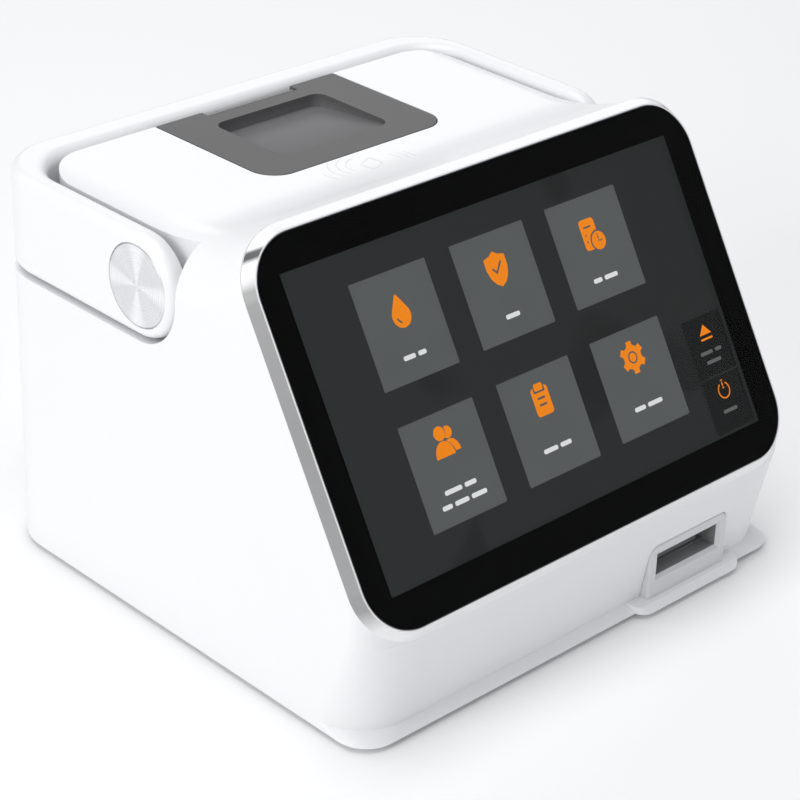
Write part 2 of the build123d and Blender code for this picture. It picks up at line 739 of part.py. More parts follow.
def build_handle():
    low, high = pivot_height - handle_height / 2, pivot_height + handle_height / 2
    inner_half, inner_back = half_width - arm_thickness, rear - grip_thickness
    start = pivot_y - arm_radius - 5
    plan = block(-half_width, half_width, start, rear, low, high)
    plan = fillet(plan.edges().filter_by(Axis.Z).sort_by(Axis.Y)[-2:], rear_round)
    inside = block(-inner_half, inner_half, start - 5, inner_back, low - 1, high + 1)
    inside = fillet(inside.edges().filter_by(Axis.Z).sort_by(Axis.Y)[-2:], grip_inner_round)
    ends = rod("x", arm_radius, -half_width - 1, half_width + 1, pivot_y, pivot_height)
    ends += block(-half_width - 1, half_width + 1, pivot_y, rear + 1, low, high)
    handle = (plan - inside) & ends
    outer, _ = handle_edge_groups(handle, inner_half, inner_back)
    handle = fillet(outer, handle_edge)
    _, inner = handle_edge_groups(handle, inner_half, inner_back)
    handle = fillet(inner, handle_inner_edge)

    # Hollow of the grip, its ribs and the seat of its cover
    pocket_half = grip_pocket_width / 2
    pocket_low, pocket_high = low + grip_pocket_margin, high - grip_pocket_margin
    hollow = block(-pocket_half, pocket_half, inner_back - 1, inner_back + grip_pocket_depth,
                   pocket_low, pocket_high)
    for i in range(grip_rib_count):
        x = (i - (grip_rib_count - 1) / 2) * grip_pocket_width / (grip_rib_count + 1)
        hollow -= block(x - grip_rib_thickness / 2, x + grip_rib_thickness / 2,
                        inner_back + grip_cover_thickness, rear, pocket_low, pocket_high)
    for side in (-1, 1):
        hollow -= rod("y", 3.0, inner_back + grip_cover_thickness, rear, side * grip_screw_spacing / 2,
                      pivot_height)
    seat = block(-pocket_half - cover_ledge, pocket_half + cover_ledge, inner_back - 1,
                 inner_back + grip_cover_thickness, pocket_low - cover_ledge, pocket_high + cover_ledge)
    handle = handle - hollow - seat
    for side in (-1, 1):
        handle -= rod("y", grip_screw_diameter / 2 + screw_fit, inner_back - 1,
                      inner_back + grip_cover_thickness + 6.2, side * grip_screw_spacing / 2, pivot_height)

    # Pivot eyes: seat of the cap, room for the bolt head and the running bore
    for side in (-1, 1):
        cap_seat = half_width - pivot_cap_thickness
        head_seat = cap_seat - pivot_head_thickness - 2 * head_play
        handle -= rod("x", pivot_cap_diameter / 2 + pivot_cap_gap, side * cap_seat, side * (half_width + 1),
                      pivot_y, pivot_height)
        handle -= rod("x", pivot_head_diameter / 2 + head_play, side * head_seat, side * (half_width + 1),
                      pivot_y, pivot_height)
        handle -= rod("x", pivot_shank_diameter / 2 + pivot_play, side * (inner_half - 1),
                      side * (half_width + 1), pivot_y, pivot_height)
    return handle


def build_grip_cover():
    inner_back = rear - grip_thickness
    low, high = pivot_height - handle_height / 2, pivot_height + handle_height / 2
    half = grip_pocket_width / 2 + cover_ledge - cover_fit
    edge = grip_pocket_margin - cover_ledge + cover_fit
    cover = block(-half, half, inner_back, inner_back + grip_cover_thickness, low + edge, high - edge)
    cover = fillet(cover.edges().filter_by(Axis.Y), 1.0)
    for side in (-1, 1):
        x = side * grip_screw_spacing / 2
        cover -= rod("y", grip_screw_diameter / 2 + 0.1, inner_back - 1, inner_back + 3, x, pivot_height)
        cover -= rod("y", grip_screw_diameter + 0.1, inner_back - 1, inner_back + 1.0, x, pivot_height)
    return cover


def build_grip_screws():
    inner_back = rear - grip_thickness
    screws = []
    for side in (-1, 1):
        x = side * grip_screw_spacing / 2
        head = rod("y", grip_screw_diameter, inner_back, inner_back + 1.0, x, pivot_height)
        shank = rod("y", grip_screw_diameter / 2, inner_back + 1.0, inner_back + grip_cover_thickness + 6,
                    x, pivot_height)
        drive = rod("y", 0.8, inner_back, inner_back + 0.6, x, pivot_height)
        screws.append(head + shank - drive)
    return Compound(screws)


def build_pivot_cap(side):
    cap = rod("x", pivot_cap_diameter / 2, side * (half_width - pivot_cap_thickness), side * half_width,
              pivot_y, pivot_height)
    rim = cap.edges().filter_by(GeomType.CIRCLE).sort_by(Axis.X)[-1 if side > 0 else 0]
    return chamfer(rim, 0.5)


def build_pivot_bolt(side):
    head_end = half_width - pivot_cap_thickness - head_play
    head_start = head_end - pivot_head_thickness
    end = deck_half - wall - pivot_boss_length - pivot_nut_thickness - 0.6
    bolt = rod("x", pivot_head_diameter / 2, side * head_start, side * head_end, pivot_y, pivot_height)
    bolt += rod("x", pivot_shank_diameter / 2, side * end, side * head_start, pivot_y, pivot_height)
    hexagon = extrude(Plane.YZ.offset(side * (head_end - 1.4)) * Pos(pivot_y, pivot_height)
                      * RegularPolygon(3.0, 6), side * 3)
    return bolt - hexagon


def build_washer(side):
    inner, outer = deck_half, half_width - arm_thickness - washer_play
    washer = rod("x", washer_diameter / 2, side * inner, side * outer, pivot_y, pivot_height)
    return washer - rod("x", pivot_shank_diameter / 2 + 0.06, side * (inner - 1), side * (outer + 1),
                        pivot_y, pivot_height)


def build_nut(side):
    face = deck_half - wall - pivot_boss_length
    plane = Plane.YZ.offset(side * face)
    nut = extrude(plane * Pos(pivot_y, pivot_height) * RegularPolygon(pivot_nut_size / sqrt(3), 6),
                  -side * pivot_nut_thickness)
    return nut - rod("x", pivot_shank_diameter / 2 + 0.02, side * (face - 10), side * (face + 1),
                     pivot_y, pivot_height)


def build_rest_pads():
    pads = []
    for side in (-1, 1):
        x = side * rest_pad_spacing / 2
        pads.append(block(x - rest_pad_size / 2, x + rest_pad_size / 2, rear - 10.0, rear - 4.0,
                          ledge, ledge + arm_gap - rest_pad_play))
    return Compound(pads)


# ---------------------------------------------------------------- printer
def build_door():
    low = deck_height - door_thickness
    door = block(-door_width / 2, door_width / 2, door_edge, deck_back, low, deck_height)
    door = fillet(door.edges().filter_by(Axis.Z).sort_by(Axis.Y)[:2], door_round)

    # Pod under the finger recess, then the recess with its sloping floor
    y0, y1 = recess_start, recess_end
    pod = block(-recess_width / 2 - 2, recess_width / 2 + 2, y0 - 2, y1 + 2,
                deck_height - recess_depth - recess_floor, low)
    pod = fillet(pod.edges().filter_by(Axis.Z), recess_round + 2)
    door += pod
    mould = block(-recess_width / 2, recess_width / 2, y0, y1, deck_height - recess_depth - 1,
                  deck_height + 1)
    mould = fillet(mould.edges().filter_by(Axis.Z), recess_round)
    floor = side_solid([(y0 - 1, deck_height - recess_shallow), (y1 - 5.0, deck_height - recess_depth),
                        (y1 + 1, deck_height - recess_depth), (y1 + 1, deck_height + 5),
                        (y0 - 1, deck_height + 5)], recess_width)
    door -= mould & floor

    # Hinge beams beside the notch, with the pin's running bore
    for side in (-1, 1):
        x0, x1 = side * (door_notch_width / 2), side * (door_width / 2 - 1)
        door += block(min(x0, x1), max(x0, x1), hinge_y - 4.0, deck_back, hinge_z - hinge_drop, low)
    door -= block(-door_notch_width / 2, door_notch_width / 2, deck_back - door_notch_depth, deck_back + 1,
                  low - 5, deck_height + 1)
    door -= rod("x", hinge_pin_diameter / 2 + hinge_play, -hinge_pin_length / 2 - 0.3,
                hinge_pin_length / 2 + 0.3, hinge_y, hinge_z)

    # Cheeks that carry the platen
    for side in (-1, 1):
        x0 = side * (platen_length / 2 + cheek_gap)
        x1 = x0 + side * cheek_thickness
        cheek = rod("x", cheek_radius, x0, x1, platen_y, platen_z)
        cheek += block(min(x0, x1), max(x0, x1), platen_y - cheek_radius, platen_y + cheek_tail,
                       platen_z, low)
        door += cheek - rod("x", platen_shaft_diameter / 2 + hinge_play, x0 - side, x1 + side,
                            platen_y, platen_z)
    return door


def build_hinge_pin():
    return rod("x", hinge_pin_diameter / 2, -hinge_pin_length / 2, hinge_pin_length / 2, hinge_y, hinge_z)


def build_platen_roller():
    roller = rod("x", platen_diameter / 2, -platen_length / 2, platen_length / 2, platen_y, platen_z)
    return roller - rod("x", platen_shaft_diameter / 2, -platen_length, platen_length, platen_y, platen_z)


def build_platen_shaft():
    end = gear_x + printer_gear_width
    shaft = rod("x", platen_shaft_diameter / 2, -gear_x, end + 0.6, platen_y, platen_z)
    outline = Rot(0, 0, -90) * gear_face(gear_module, platen_gear_teeth, mesh_backlash)
    gear = extrude(Plane.YZ.offset(gear_x) * Pos(platen_y, platen_z) * outline, printer_gear_width)
    return shaft + gear


def build_drive_gear():
    turn = 90 + 180 / drive_gear_teeth
    outline = Rot(0, 0, turn) * gear_face(gear_module, drive_gear_teeth, mesh_backlash)
    gear = extrude(Plane.YZ.offset(gear_x) * Pos(platen_y, drive_z) * outline, printer_gear_width)
    shaft = rod("x", 1.5, frame_plate_x - 3.0, gear_x + printer_gear_width + 0.6, platen_y, drive_z)
    return gear + shaft


def build_printer_motor():
    end = frame_plate_x
    motor = rod("x", motor_diameter / 2, end - motor_length, end, platen_y, drive_z)
    motor = chamfer(motor.edges().filter_by(GeomType.CIRCLE), 0.8)
    motor += rod("x", 3.0, end - motor_length - 1.5, end - motor_length, platen_y, drive_z)
    return motor - rod("x", 1.5 + hinge_play, end - 3.3, end + 1, platen_y, drive_z)


def build_print_head():
    """Heat sink with the heating strip on its face, hung on its own pin between the frame's plates."""
    toward = radians(180 + head_tilt)
    distance = platen_diameter / 2 + head_gap
    origin = (0, platen_y + distance * cos(toward), platen_z + distance * sin(toward))
    plane = Plane(origin=origin, x_dir=(1, 0, 0), z_dir=(0, cos(toward), sin(toward)))
    up = -1 if plane.y_dir.Z < 0 else 1
    strip = extrude(plane * Pos(0, up * 2.5) * Rectangle(platen_length, 9.0), 1.0)
    sink = extrude(plane.offset(1.0) * Pos(0, up * 2.5) * Rectangle(platen_length + 2, 9.6), 3.2)
    for i in range(7):
        sink -= extrude(plane.offset(3.2) * Pos((i - 3) * 8.0, up * 2.5) * Rectangle(2.0, 12.0), 2.0)
    pin = rod("x", head_pin_diameter / 2, -frame_plate_x - 1.8, frame_plate_x + 1.8, *head_pin_place())
    return strip + sink + pin


def head_pin_place():
    toward = radians(180 + head_tilt)
    distance = platen_diameter / 2 + head_gap + 2.6
    y = platen_y + distance * cos(toward) - 4.8 * sin(radians(head_tilt))
    z = platen_z + distance * sin(toward) + 4.8 * cos(radians(head_tilt))
    return y, z


def build_printer_frame():
    """Folded steel frame: two side plates, a front cross plate and ears under the deck posts."""
    t = frame_sheet
    pin_y, pin_z = head_pin_place()
    back = bucket_front - bucket_wall - bucket_gap / 2
    top = platen_z - cheek_radius - cheek_gap
    outline = [(pin_y - 4, drive_z - 12), (back, drive_z - 12), (back, top), (pin_y + 3.2, top),
               (pin_y + 3.2, pin_z + 3.0), (pin_y - 4, pin_z + 3.0)]
    frame = block(-frame_plate_x, frame_plate_x, pin_y - 4, pin_y - 4 + t, drive_z - 12, drive_z + 6)
    for side in (-1, 1):
        plate = extrude(Plane.YZ.offset(side * frame_plate_x) * make_face(Polyline(*outline, close=True)),
                        side * t)
        frame += plate
        x0, x1 = side * (frame_plate_x + t), side * (frame_plate_x - 12)
        frame += block(min(x0, x1), max(x0, x1), pin_y - 12, pin_y - 4 + t, pin_z + 3.0 - t, pin_z + 3.0)
        frame += block(min(x0, x1), max(x0, x1), pin_y - 4, pin_y - 4 + t, drive_z + 2, pin_z + 3.0)
    frame -= rod("x", head_pin_diameter / 2 + 0.05, -50, 50, pin_y, pin_z)
    frame -= rod("x", 1.5 + 0.5, 0, 50, platen_y, drive_z)
    return frame


def frame_post_places():
    pin_y, pin_z = head_pin_place()
    return [(side * (frame_plate_x - 5), pin_y - 8, pin_z + 3.0) for side in (-1, 1)]


def build_bucket():
    x, y0, y1 = bucket_half, bucket_front, bucket_back
    low = bucket_low
    cradle = paper_diameter / 2 + bucket_cradle

    def trough(grow, top):
        """Straight ends above a round floor, grown by a wall."""
        ends = block(-x - grow, x + grow, y0 - grow, y1 + grow, low + cradle, top)
        floor = rod("x", cradle + grow, -x - grow, x + grow, (y0 + y1) / 2, low + cradle)
        return ends + (floor & block(-x - grow, x + grow, y0 - grow, y1 + grow, 0, low + cradle))

    bucket = trough(bucket_wall, bucket_top) - trough(0, bucket_top + 1)
    for side in (-1, 1):
        x0, x1 = side * (x + bucket_wall), side * (bucket_post_x + 4)
        bucket += block(min(x0, x1), max(x0, x1), bucket_post_y - 5, bucket_post_y + 5, bucket_top - 2,
                        bucket_top)
        bucket -= rod("z", screw_diameter / 2 + 0.1, bucket_top - 5, bucket_top + 1, side * bucket_post_x,
                      bucket_post_y)
    return bucket


def paper_place():
    return (bucket_front + bucket_back) / 2, bucket_low + paper_diameter / 2 + paper_gap


def build_paper():
    roll = rod("x", paper_diameter / 2, -paper_width / 2, paper_width / 2, *paper_place())
    return roll - rod("x", paper_bore / 2, -paper_width, paper_width, *paper_place())


def build_bucket_screws():
    return Compound([screw(side * bucket_post_x, bucket_post_y, bucket_top - 2, 6.0) for side in (-1, 1)])


# ---------------------------------------------------------------- cassette tray
def build_tray():
    y1 = tray_front + tray_length
    half = tray_width / 2
    tray = block(slot_centre - half, slot_centre + half, tray_front, y1, tray_low, tray_high)
    tray = fillet(tray.edges().filter_by(Axis.Z).sort_by(Axis.Y)[:2], 3.0)
    p0 = tray_front + tray_front_land
    pocket = block(slot_centre - cassette_width / 2, slot_centre + cassette_width / 2, p0,
                   p0 + cassette_length, tray_high - cassette_depth, tray_high + 1)
    tray -= fillet(pocket.edges().filter_by(Axis.Z), 2.0)
    # Thumb dips beside the cassette and a white reference bar behind it
    dip = rod("x", 8, slot_centre - half + 2.2, slot_centre + cassette_width / 2,
              p0 + cassette_length - 14, tray_high + 4)
    tray -= dip & block(slot_centre - half, slot_centre + half, front, rear, tray_high - 2.5, tray_high + 1)
    tray -= block(slot_centre - 6, slot_centre + 6, p0 + cassette_length + 5, y1 - 6, tray_high - 0.8,
                  tray_high + 1)
    # Groove for the rack
    tray -= block(rack_back, slot_centre + half + 1, tray_front + rack_start, y1 - rack_end_land,
                  rack_low, rack_high)
    return tray


def build_rack():
    """Rack with its teeth towards +X; a gap between teeth faces the pinion's middle."""
    step = pi * tray_module
    y_start, y_end = tray_front + rack_start, tray_front + tray_length - rack_end_land
    slope = tilt_of_rack_flank
    root, tip = rack_pitch_x - 1.25 * tray_module, rack_pitch_x + tray_module
    half_pitch = step / 4 - mesh_backlash / 2
    root_half, tip_half = half_pitch + 1.25 * tray_module * slope, half_pitch - tray_module * slope
    points = [(rack_back, y_start), (root, y_start)]
    first = int((y_start - pinion_y) / step) - 1
    for k in range(first, first + int((y_end - y_start) / step) + 3):
        middle = pinion_y + (k + 0.5) * step
        if y_start < middle - root_half and middle + root_half < y_end:
            points += [(root, middle - root_half), (tip, middle - tip_half), (tip, middle + tip_half),
                       (root, middle + root_half)]
    points += [(root, y_end), (rack_back, y_end)]
    return extrude(Pos(0, 0, rack_low) * make_face(Polyline(*points, close=True)), rack_high - rack_low)


def build_pinion():
    middle = (rack_low + rack_high) / 2
    outline = Rot(0, 0, 180) * gear_face(tray_module, pinion_teeth, mesh_backlash)
    gear = extrude(Pos(pinion_x, pinion_y, middle - pinion_width / 2) * outline, pinion_width)
    return gear + rod("z", pinion_shaft_diameter / 2, seam + 2.0, motor_low + 3.0, pinion_x, pinion_y)


def build_tray_motor():
    can = rod("z", tray_motor_diameter / 2, motor_low, motor_low + tray_motor_height, pinion_x, pinion_y)
    can = fillet(can.edges().filter_by(GeomType.CIRCLE).sort_by(Axis.Z)[-1], 1.2)
    ears = block(pinion_x - 3.5, pinion_x + 3.5, pinion_y - 8, pinion_y + 13, motor_low, motor_low + 1)
    return can + ears - rod("z", pinion_shaft_diameter / 2 + hinge_play, motor_low - 1, motor_low + 3.3,
                            pinion_x, pinion_y)


def build_motor_bracket():
    t = frame_sheet
    leg = pinion_x + pinion_radius + tray_module + 1.3
    y0, y1 = pinion_y - 7.0, pinion_y + bracket_reach
    bracket = block(pinion_x - 7, leg + t, y0, y1, motor_low - t, motor_low)
    bracket += block(leg, leg + t, y0, y1, seam, motor_low)
    bracket += block(leg - 8, leg + t, y1 - 5, y1, seam, seam + t)
    return bracket - rod("z", 3.0, motor_low - 5, motor_low + 1, pinion_x, pinion_y)


def build_guide():
    inner = tray_width / 2 + guide_play
    outer = inner + guide_wall
    low = tray_low - guide_play - guide_floor
    lip_low = tray_high + guide_play
    y0, y1 = guide_start, tray_front + tray_length + 0.7 + guide_wall
    guide = block(slot_centre - outer, slot_centre + outer, y0, y1, low, lip_low + guide_lip)
    guide -= block(slot_centre - inner, slot_centre + inner, y0 - 1, y1 - guide_wall, low + guide_floor,
                   lip_low)
    guide -= block(slot_centre - inner + guide_lip, slot_centre + inner - guide_lip, y0 - 1, y1 + 1,
                   lip_low - 1, lip_low + 9)
    reach = pinion_radius + tray_module + 0.8
    guide -= block(slot_centre + inner - 0.5, slot_centre + outer + 1, pinion_y - reach, pinion_y + reach,
                   rack_low - 1, rack_high + 1)
    for i in range(4):
        y = tray_front + (i + 1) * tray_length / 5
        guide -= block(slot_centre - 6, slot_centre + 6, y, y + 10, low - 1, low + guide_floor + 1)
    for x, y in guide_post_places():
        guide -= rod("z", 1.3, low - 1, low + guide_floor + 1, x, y)
    return guide


def build_optical_head():
    low = tray_high + guide_play + guide_lip
    half = tray_width / 2 + guide_play + guide_wall
    y0, y1 = optics_y - optics_length / 2, optics_y + optics_length / 2
    head = block(slot_centre - half, slot_centre + half, y0, y1, low, low + 6)
    tower = block(slot_centre - half + 4, slot_centre + half - 4, y0, y1, low + 6, low + optics_height)
    tower = fillet(tower.edges().filter_by(Axis.Z), 2.0)
    head += tower
    head -= rod("z", lens_diameter / 2 + 0.05, low - 1, low + 12, slot_centre, optics_y)
    for dy in (-11, 11):
        head -= rod("z", 1.5, low - 1, low + 8, slot_centre, optics_y + dy)
    return head


def build_lens():
    low = tray_high + guide_play + guide_lip + 1.0
    lens = rod("z", lens_diameter / 2, low, low + 2.4, slot_centre, optics_y)
    dome = Pos(slot_centre, optics_y, low + 2.4 - 9) * Sphere(10.4)
    return lens & dome


def build_optics_board():
    low = tray_high + guide_play + guide_lip + optics_height
    half = tray_width / 2 + guide_play + guide_wall - 4
    board = block(slot_centre - half, slot_centre + half, optics_y - optics_length / 2,
                  optics_y + optics_length / 2, low, low + board_thickness)
    return board + block(slot_centre - 6, slot_centre + 6, optics_y - 5, optics_y + 5,
                         low + board_thickness, low + board_thickness + 1.2)


def slot_wall_space(start):
    """Space of the front wall round the slot, from a Y to the start of the tray's guide."""
    return block(slot_centre - panel_width, half_width, start, guide_start, seam, glass_edge_height)


def slot_panel_outline(grow):
    width, low = panel_width + 2 * grow, seam - 5
    high = seam + panel_height - 0.6 + grow
    plane = Plane(origin=(0, 0, 0), x_dir=(1, 0, 0), z_dir=(0, -1, 0))
    shape = Pos(slot_centre, (low + high) / 2) * Rectangle(width, high - low)
    prism = extrude(plane * shape, body_depth) & slot_wall_space(front)
    top = [e for e in prism.edges().filter_by(Axis.Y) if e.center().Z > high - 1]
    return fillet(top, panel_round + grow)


def build_slot_panel():
    face = panel_y - panel_lift
    panel = slot_panel_outline(0) & slot_wall_space(face)
    rim = [e for e in panel.faces().sort_by(Axis.Y)[0].edges() if e.center().Z > seam + 1]
    panel = fillet(rim, 0.9)
    z0 = slot_height_above_table - slot_height / 2
    x0, x1 = slot_centre - slot_width / 2, slot_centre + slot_width / 2
    mouth = block(x0, x1, face - 20, guide_start + 1, z0, z0 + slot_height)
    flare = loft([
        Plane(origin=(slot_centre, face - 0.01, slot_height_above_table), x_dir=(1, 0, 0), z_dir=(0, -1, 0))
        * Rectangle(slot_width + 2 * mouth_bevel, slot_height + 2 * mouth_bevel),
        Plane(origin=(slot_centre, face + mouth_bevel, slot_height_above_table), x_dir=(1, 0, 0),
              z_dir=(0, -1, 0)) * Rectangle(slot_width, slot_height),
    ])
    return panel - mouth - flare


# ---------------------------------------------------------------- electronics and rear panel
def build_main_board():
    board = block(board_left, board_right, board_front, board_rear, board_height,
                  board_height + board_thickness)
    board = fillet(board.edges().filter_by(Axis.Z), 2)
    for x, y in board_post_places():
        board -= rod("z", 1.6, board_height - 1, board_height + 5, x, y)
    return board


def build_board_screws():
    top = board_height + board_thickness
    return Compound([rod("z", 2.7, top, top + 1.8, x, y) + rod("z", 1.5, top - 6, top, x, y)
                     for x, y in board_post_places()])


def build_chips():
    top = board_height + board_thickness
    chips = []
    for x, y, width, length, height in (
        (52, 46, 17, 17, 1.6), (52, 20, 12, 9, 1.2), (30, 46, 10, 13, 1.2), (76, 54, 12, 12, 1.4),
        (20, 14, 22, 6, 7.0), (84, 10, 22, 5, 4.0), (27, 82, 14, 10, 9.0),
    ):
        left, near = board_left + x - width / 2, board_front + y - length / 2
        chips.append(block(left, left + width, near, near + length, top, top + height))
    for x, y in ((12, 60), (12, 72), (46, 80), (68, 80)):
        chips.append(rod("z", 4.0, top, top + 9, board_left + x, board_front + y))
    return Compound(chips)


def build_battery():
    cells = SlotOverall(battery_width, battery_height)
    profile = Plane.YZ.offset(battery_x) * Pos(battery_y, seam + battery_height / 2) * cells
    return extrude(profile, battery_length)


def build_port_panel():
    half, z0 = port_panel_width / 2, port_panel_bottom
    z1 = z0 + port_panel_height
    inner_face, outer_face = rear - wall, rear - port_panel_inset
    fit = port_panel_fit
    panel = block(-half + fit, half - fit, inner_face, outer_face, z0 + fit, z1 - fit)
    panel = fillet(panel.edges().filter_by(Axis.Y), 1.5)
    flange = block(-half - 2, half + 2, inner_face - 1.6, inner_face, z0, z1 + 2)
    panel += flange
    for x, z, width, height in PORT_HOLES:
        hole = block(x - width / 2 - fit, x + width / 2 + fit, inner_face - 5, rear, z - height / 2 - fit,
                     z + height / 2 + fit)
        panel -= hole
    return panel


def port_body(x, width, height, depth):
    top = board_height + board_thickness
    return block(x - width / 2, x + width / 2, rear - port_panel_inset - depth, rear - port_panel_inset,
                 top, top + height)


def build_network_port():
    body = port_body(network_x, network_width, network_height, 16)
    z0 = board_height + board_thickness
    y1 = rear
    socket = block(network_x - 6.0, network_x + 6.0, y1 - 14, y1, z0 + 3.2, z0 + 10.2)
    key = block(network_x - 3.2, network_x + 3.2, y1 - 14, y1, z0 + 1.2, z0 + 3.3)
    return body - socket - key


def build_usb_ports():
    ports = []
    z0 = board_height + board_thickness
    for x in usb_places:
        body = port_body(x, usb_width, usb_height, 14)
        socket = block(x - 6.1, x + 6.1, rear - 12, rear, z0 + 1.1, z0 + 5.9)
        tongue = block(x - 5.5, x + 5.5, rear - 13, rear - 3, z0 + 3.5, z0 + 5.3)
        ports.append(body - socket + tongue)
    return Compound(ports)


def build_power_inlet():
    body = port_body(inlet_x, inlet_width, inlet_height, 13)
    z = board_height + board_thickness + inlet_height / 2
    socket = rod("y", 3.2, rear - 11, rear + 1, inlet_x, z)
    pin = rod("y", 1.0, rear - 12, rear - port_panel_inset - 1.5, inlet_x, z)
    return body - socket + pin


def build_switch_frame():
    y1 = rear - port_panel_inset
    half_x, half_z = switch_width / 2, switch_height / 2
    flange = block(switch_x - half_x - 1.6, switch_x + half_x + 1.6, y1, y1 + 1.0, switch_z - half_z - 1.6,
                   switch_z + half_z + 1.6)
    flange = fillet(flange.edges().filter_by(Axis.Y), 1.5)
    can = block(switch_x - half_x, switch_x + half_x, y1 - 16, y1, switch_z - half_z, switch_z + half_z)
    well = block(switch_x - half_x + 1.2, switch_x + half_x - 1.2, y1 - 10, y1 + 3, switch_z - half_z + 1.2,
                 switch_z + half_z - 1.2)
    bore = rod("z", 1.0 + hinge_play, switch_z - half_z - 1, switch_z + half_z + 1, switch_x, rocker_y)
    return flange + can - well - bore


def build_rocker():
    """Rocker with two leaning faces on its own pin, drawn pressed in on one side."""
    half = switch_width / 2 - 1.2 - rocker_gap
    half_z = switch_height / 2 - 1.2 - rocker_gap
    lean = half * tan(radians(rocker_swing / 2))
    points = [(0.5 - half, 2.9 + lean), (0, 2.9), (half - 0.5, 2.9 + lean), (half - 0.6, -2.0), (3.0, -5.0),
              (-3.0, -5.0), (0.6 - half, -2.0)]
    rocker = extrude(make_face(Polyline(*points, close=True)), half_z, both=True)
    rocker += Cylinder(1.0, switch_height - 0.6)
    return Pos(switch_x, rocker_y, switch_z) * Rot(0, 0, rocker_swing / 2) * rocker


def build_contactless_board():
    x, y, z = contactless_place
    board = block(x - 20, x + 20, y - 10, y + 10, z - 1.0, z)
    return fillet(board.edges().filter_by(Axis.Z), 2)


BUILDERS = {
    "housing": build_housing,
    "base_tray": build_base,
    "rubber_feet": build_feet,
    "base_screws": build_base_screws,
    "screen_frame": build_frame,
    "cover_glass": build_glass,
    "display_panel": build_display,
    "display_bracket": build_display_bracket,
    "display_board": build_display_board,
    "handle": build_handle,
    "grip_cover": build_grip_cover,
    "grip_screws": build_grip_screws,
    "pivot_cap_left": lambda: build_pivot_cap(-1),
    "pivot_cap_right": lambda: build_pivot_cap(1),
    "pivot_bolt_left": lambda: build_pivot_bolt(-1),
    "pivot_bolt_right": lambda: build_pivot_bolt(1),
    "pivot_washer_left": lambda: build_washer(-1),
    "pivot_washer_right": lambda: build_washer(1),
    "pivot_nut_left": lambda: build_nut(-1),
    "pivot_nut_right": lambda: build_nut(1),
    "handle_rest_pads": build_rest_pads,
    "printer_door": build_door,
    "door_hinge_pin": build_hinge_pin,
    "platen_roller": build_platen_roller,
    "platen_shaft": build_platen_shaft,
    "printer_drive_gear": build_drive_gear,
    "printer_motor": build_printer_motor,
    "print_head": build_print_head,
    "printer_frame": build_printer_frame,
    "paper_bucket": build_bucket,
    "bucket_screws": build_bucket_screws,
    "paper_roll": build_paper,
    "cassette_tray": build_tray,
    "tray_rack": build_rack,
    "tray_pinion": build_pinion,
    "tray_motor": build_tray_motor,
    "tray_motor_bracket": build_motor_bracket,
    "tray_guide": build_guide,
    "optical_head": build_optical_head,
    "optics_lens": build_lens,
    "optics_board": build_optics_board,
    "slot_panel": build_slot_panel,
    "main_board": build_main_board,
    "board_screws": build_board_screws,
    "board_chips": build_chips,
    "battery_pack": build_battery,
    "rear_panel": build_port_panel,
    "network_port": build_network_port,
    "usb_ports": build_usb_ports,
    "power_inlet": build_power_inlet,
    "switch_frame": build_switch_frame,
    "power_rocker": build_rocker,
    "contactless_board": build_contactless_board,
}

os.makedirs("parts", exist_ok=True)
for name, build in BUILDERS.items():
    export_step(build(), f"parts/{name}.step")
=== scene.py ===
import math

import bpy
from mathutils import Matrix, Vector


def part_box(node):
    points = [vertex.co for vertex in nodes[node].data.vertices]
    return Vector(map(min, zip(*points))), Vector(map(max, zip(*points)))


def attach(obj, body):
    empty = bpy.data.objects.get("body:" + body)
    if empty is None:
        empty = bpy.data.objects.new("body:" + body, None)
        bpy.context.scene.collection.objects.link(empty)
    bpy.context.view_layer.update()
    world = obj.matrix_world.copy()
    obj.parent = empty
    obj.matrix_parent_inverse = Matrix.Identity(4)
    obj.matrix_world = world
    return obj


# Looks of the rapid test reader. The frame is in metres: X right, Y back, Z up. Sizes named here are
# in millimetres, apart from the camera, the floor and the lights.

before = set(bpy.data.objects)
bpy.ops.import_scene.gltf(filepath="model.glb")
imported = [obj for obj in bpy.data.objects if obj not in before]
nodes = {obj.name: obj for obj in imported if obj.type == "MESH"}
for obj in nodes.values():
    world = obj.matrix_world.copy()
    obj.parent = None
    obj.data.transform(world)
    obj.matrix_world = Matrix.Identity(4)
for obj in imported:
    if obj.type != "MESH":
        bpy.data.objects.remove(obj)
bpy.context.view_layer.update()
MM = 0.001
WHOLE = (1.0, 1.0, 1.0)

# ---------------------------------------------------------------- places taken from the part
SCREEN_TILT = math.radians(59.35)
TILT_COS, TILT_SIN = math.cos(SCREEN_TILT), math.sin(SCREEN_TILT)
GLASS_LOW, GLASS_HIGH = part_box("cover_glass")
GLASS_WIDTH = (GLASS_HIGH.x - GLASS_LOW.x) / MM
GLASS_THICKNESS = 1.8
GLASS_HEIGHT = ((GLASS_HIGH.z - GLASS_LOW.z) / MM - GLASS_THICKNESS * TILT_COS) / TILT_SIN
GLASS_ROUND = 17.3
TRAY_LOW, TRAY_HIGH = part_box("cassette_tray")
TRAY_SIDE_GAP, TRAY_LID_GAP = 0.5, 0.55
DOOR_LOW, DOOR_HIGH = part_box("printer_door")
RISE_RADIUS = 96.6                         # concave rise from the deck to the screen
RECESS_HALF_WIDTH = 24.0                   # finger recess in the door
# painted light on the recess floor grows between these depths
RECESS_SHALLOW, RECESS_DEEP = 1.2, 4.6     # its floor goes pale between these depths
NOTCH_HALF_WIDTH, NOTCH_DEPTH = 20.0, 4.2  # notch in the door's rear edge

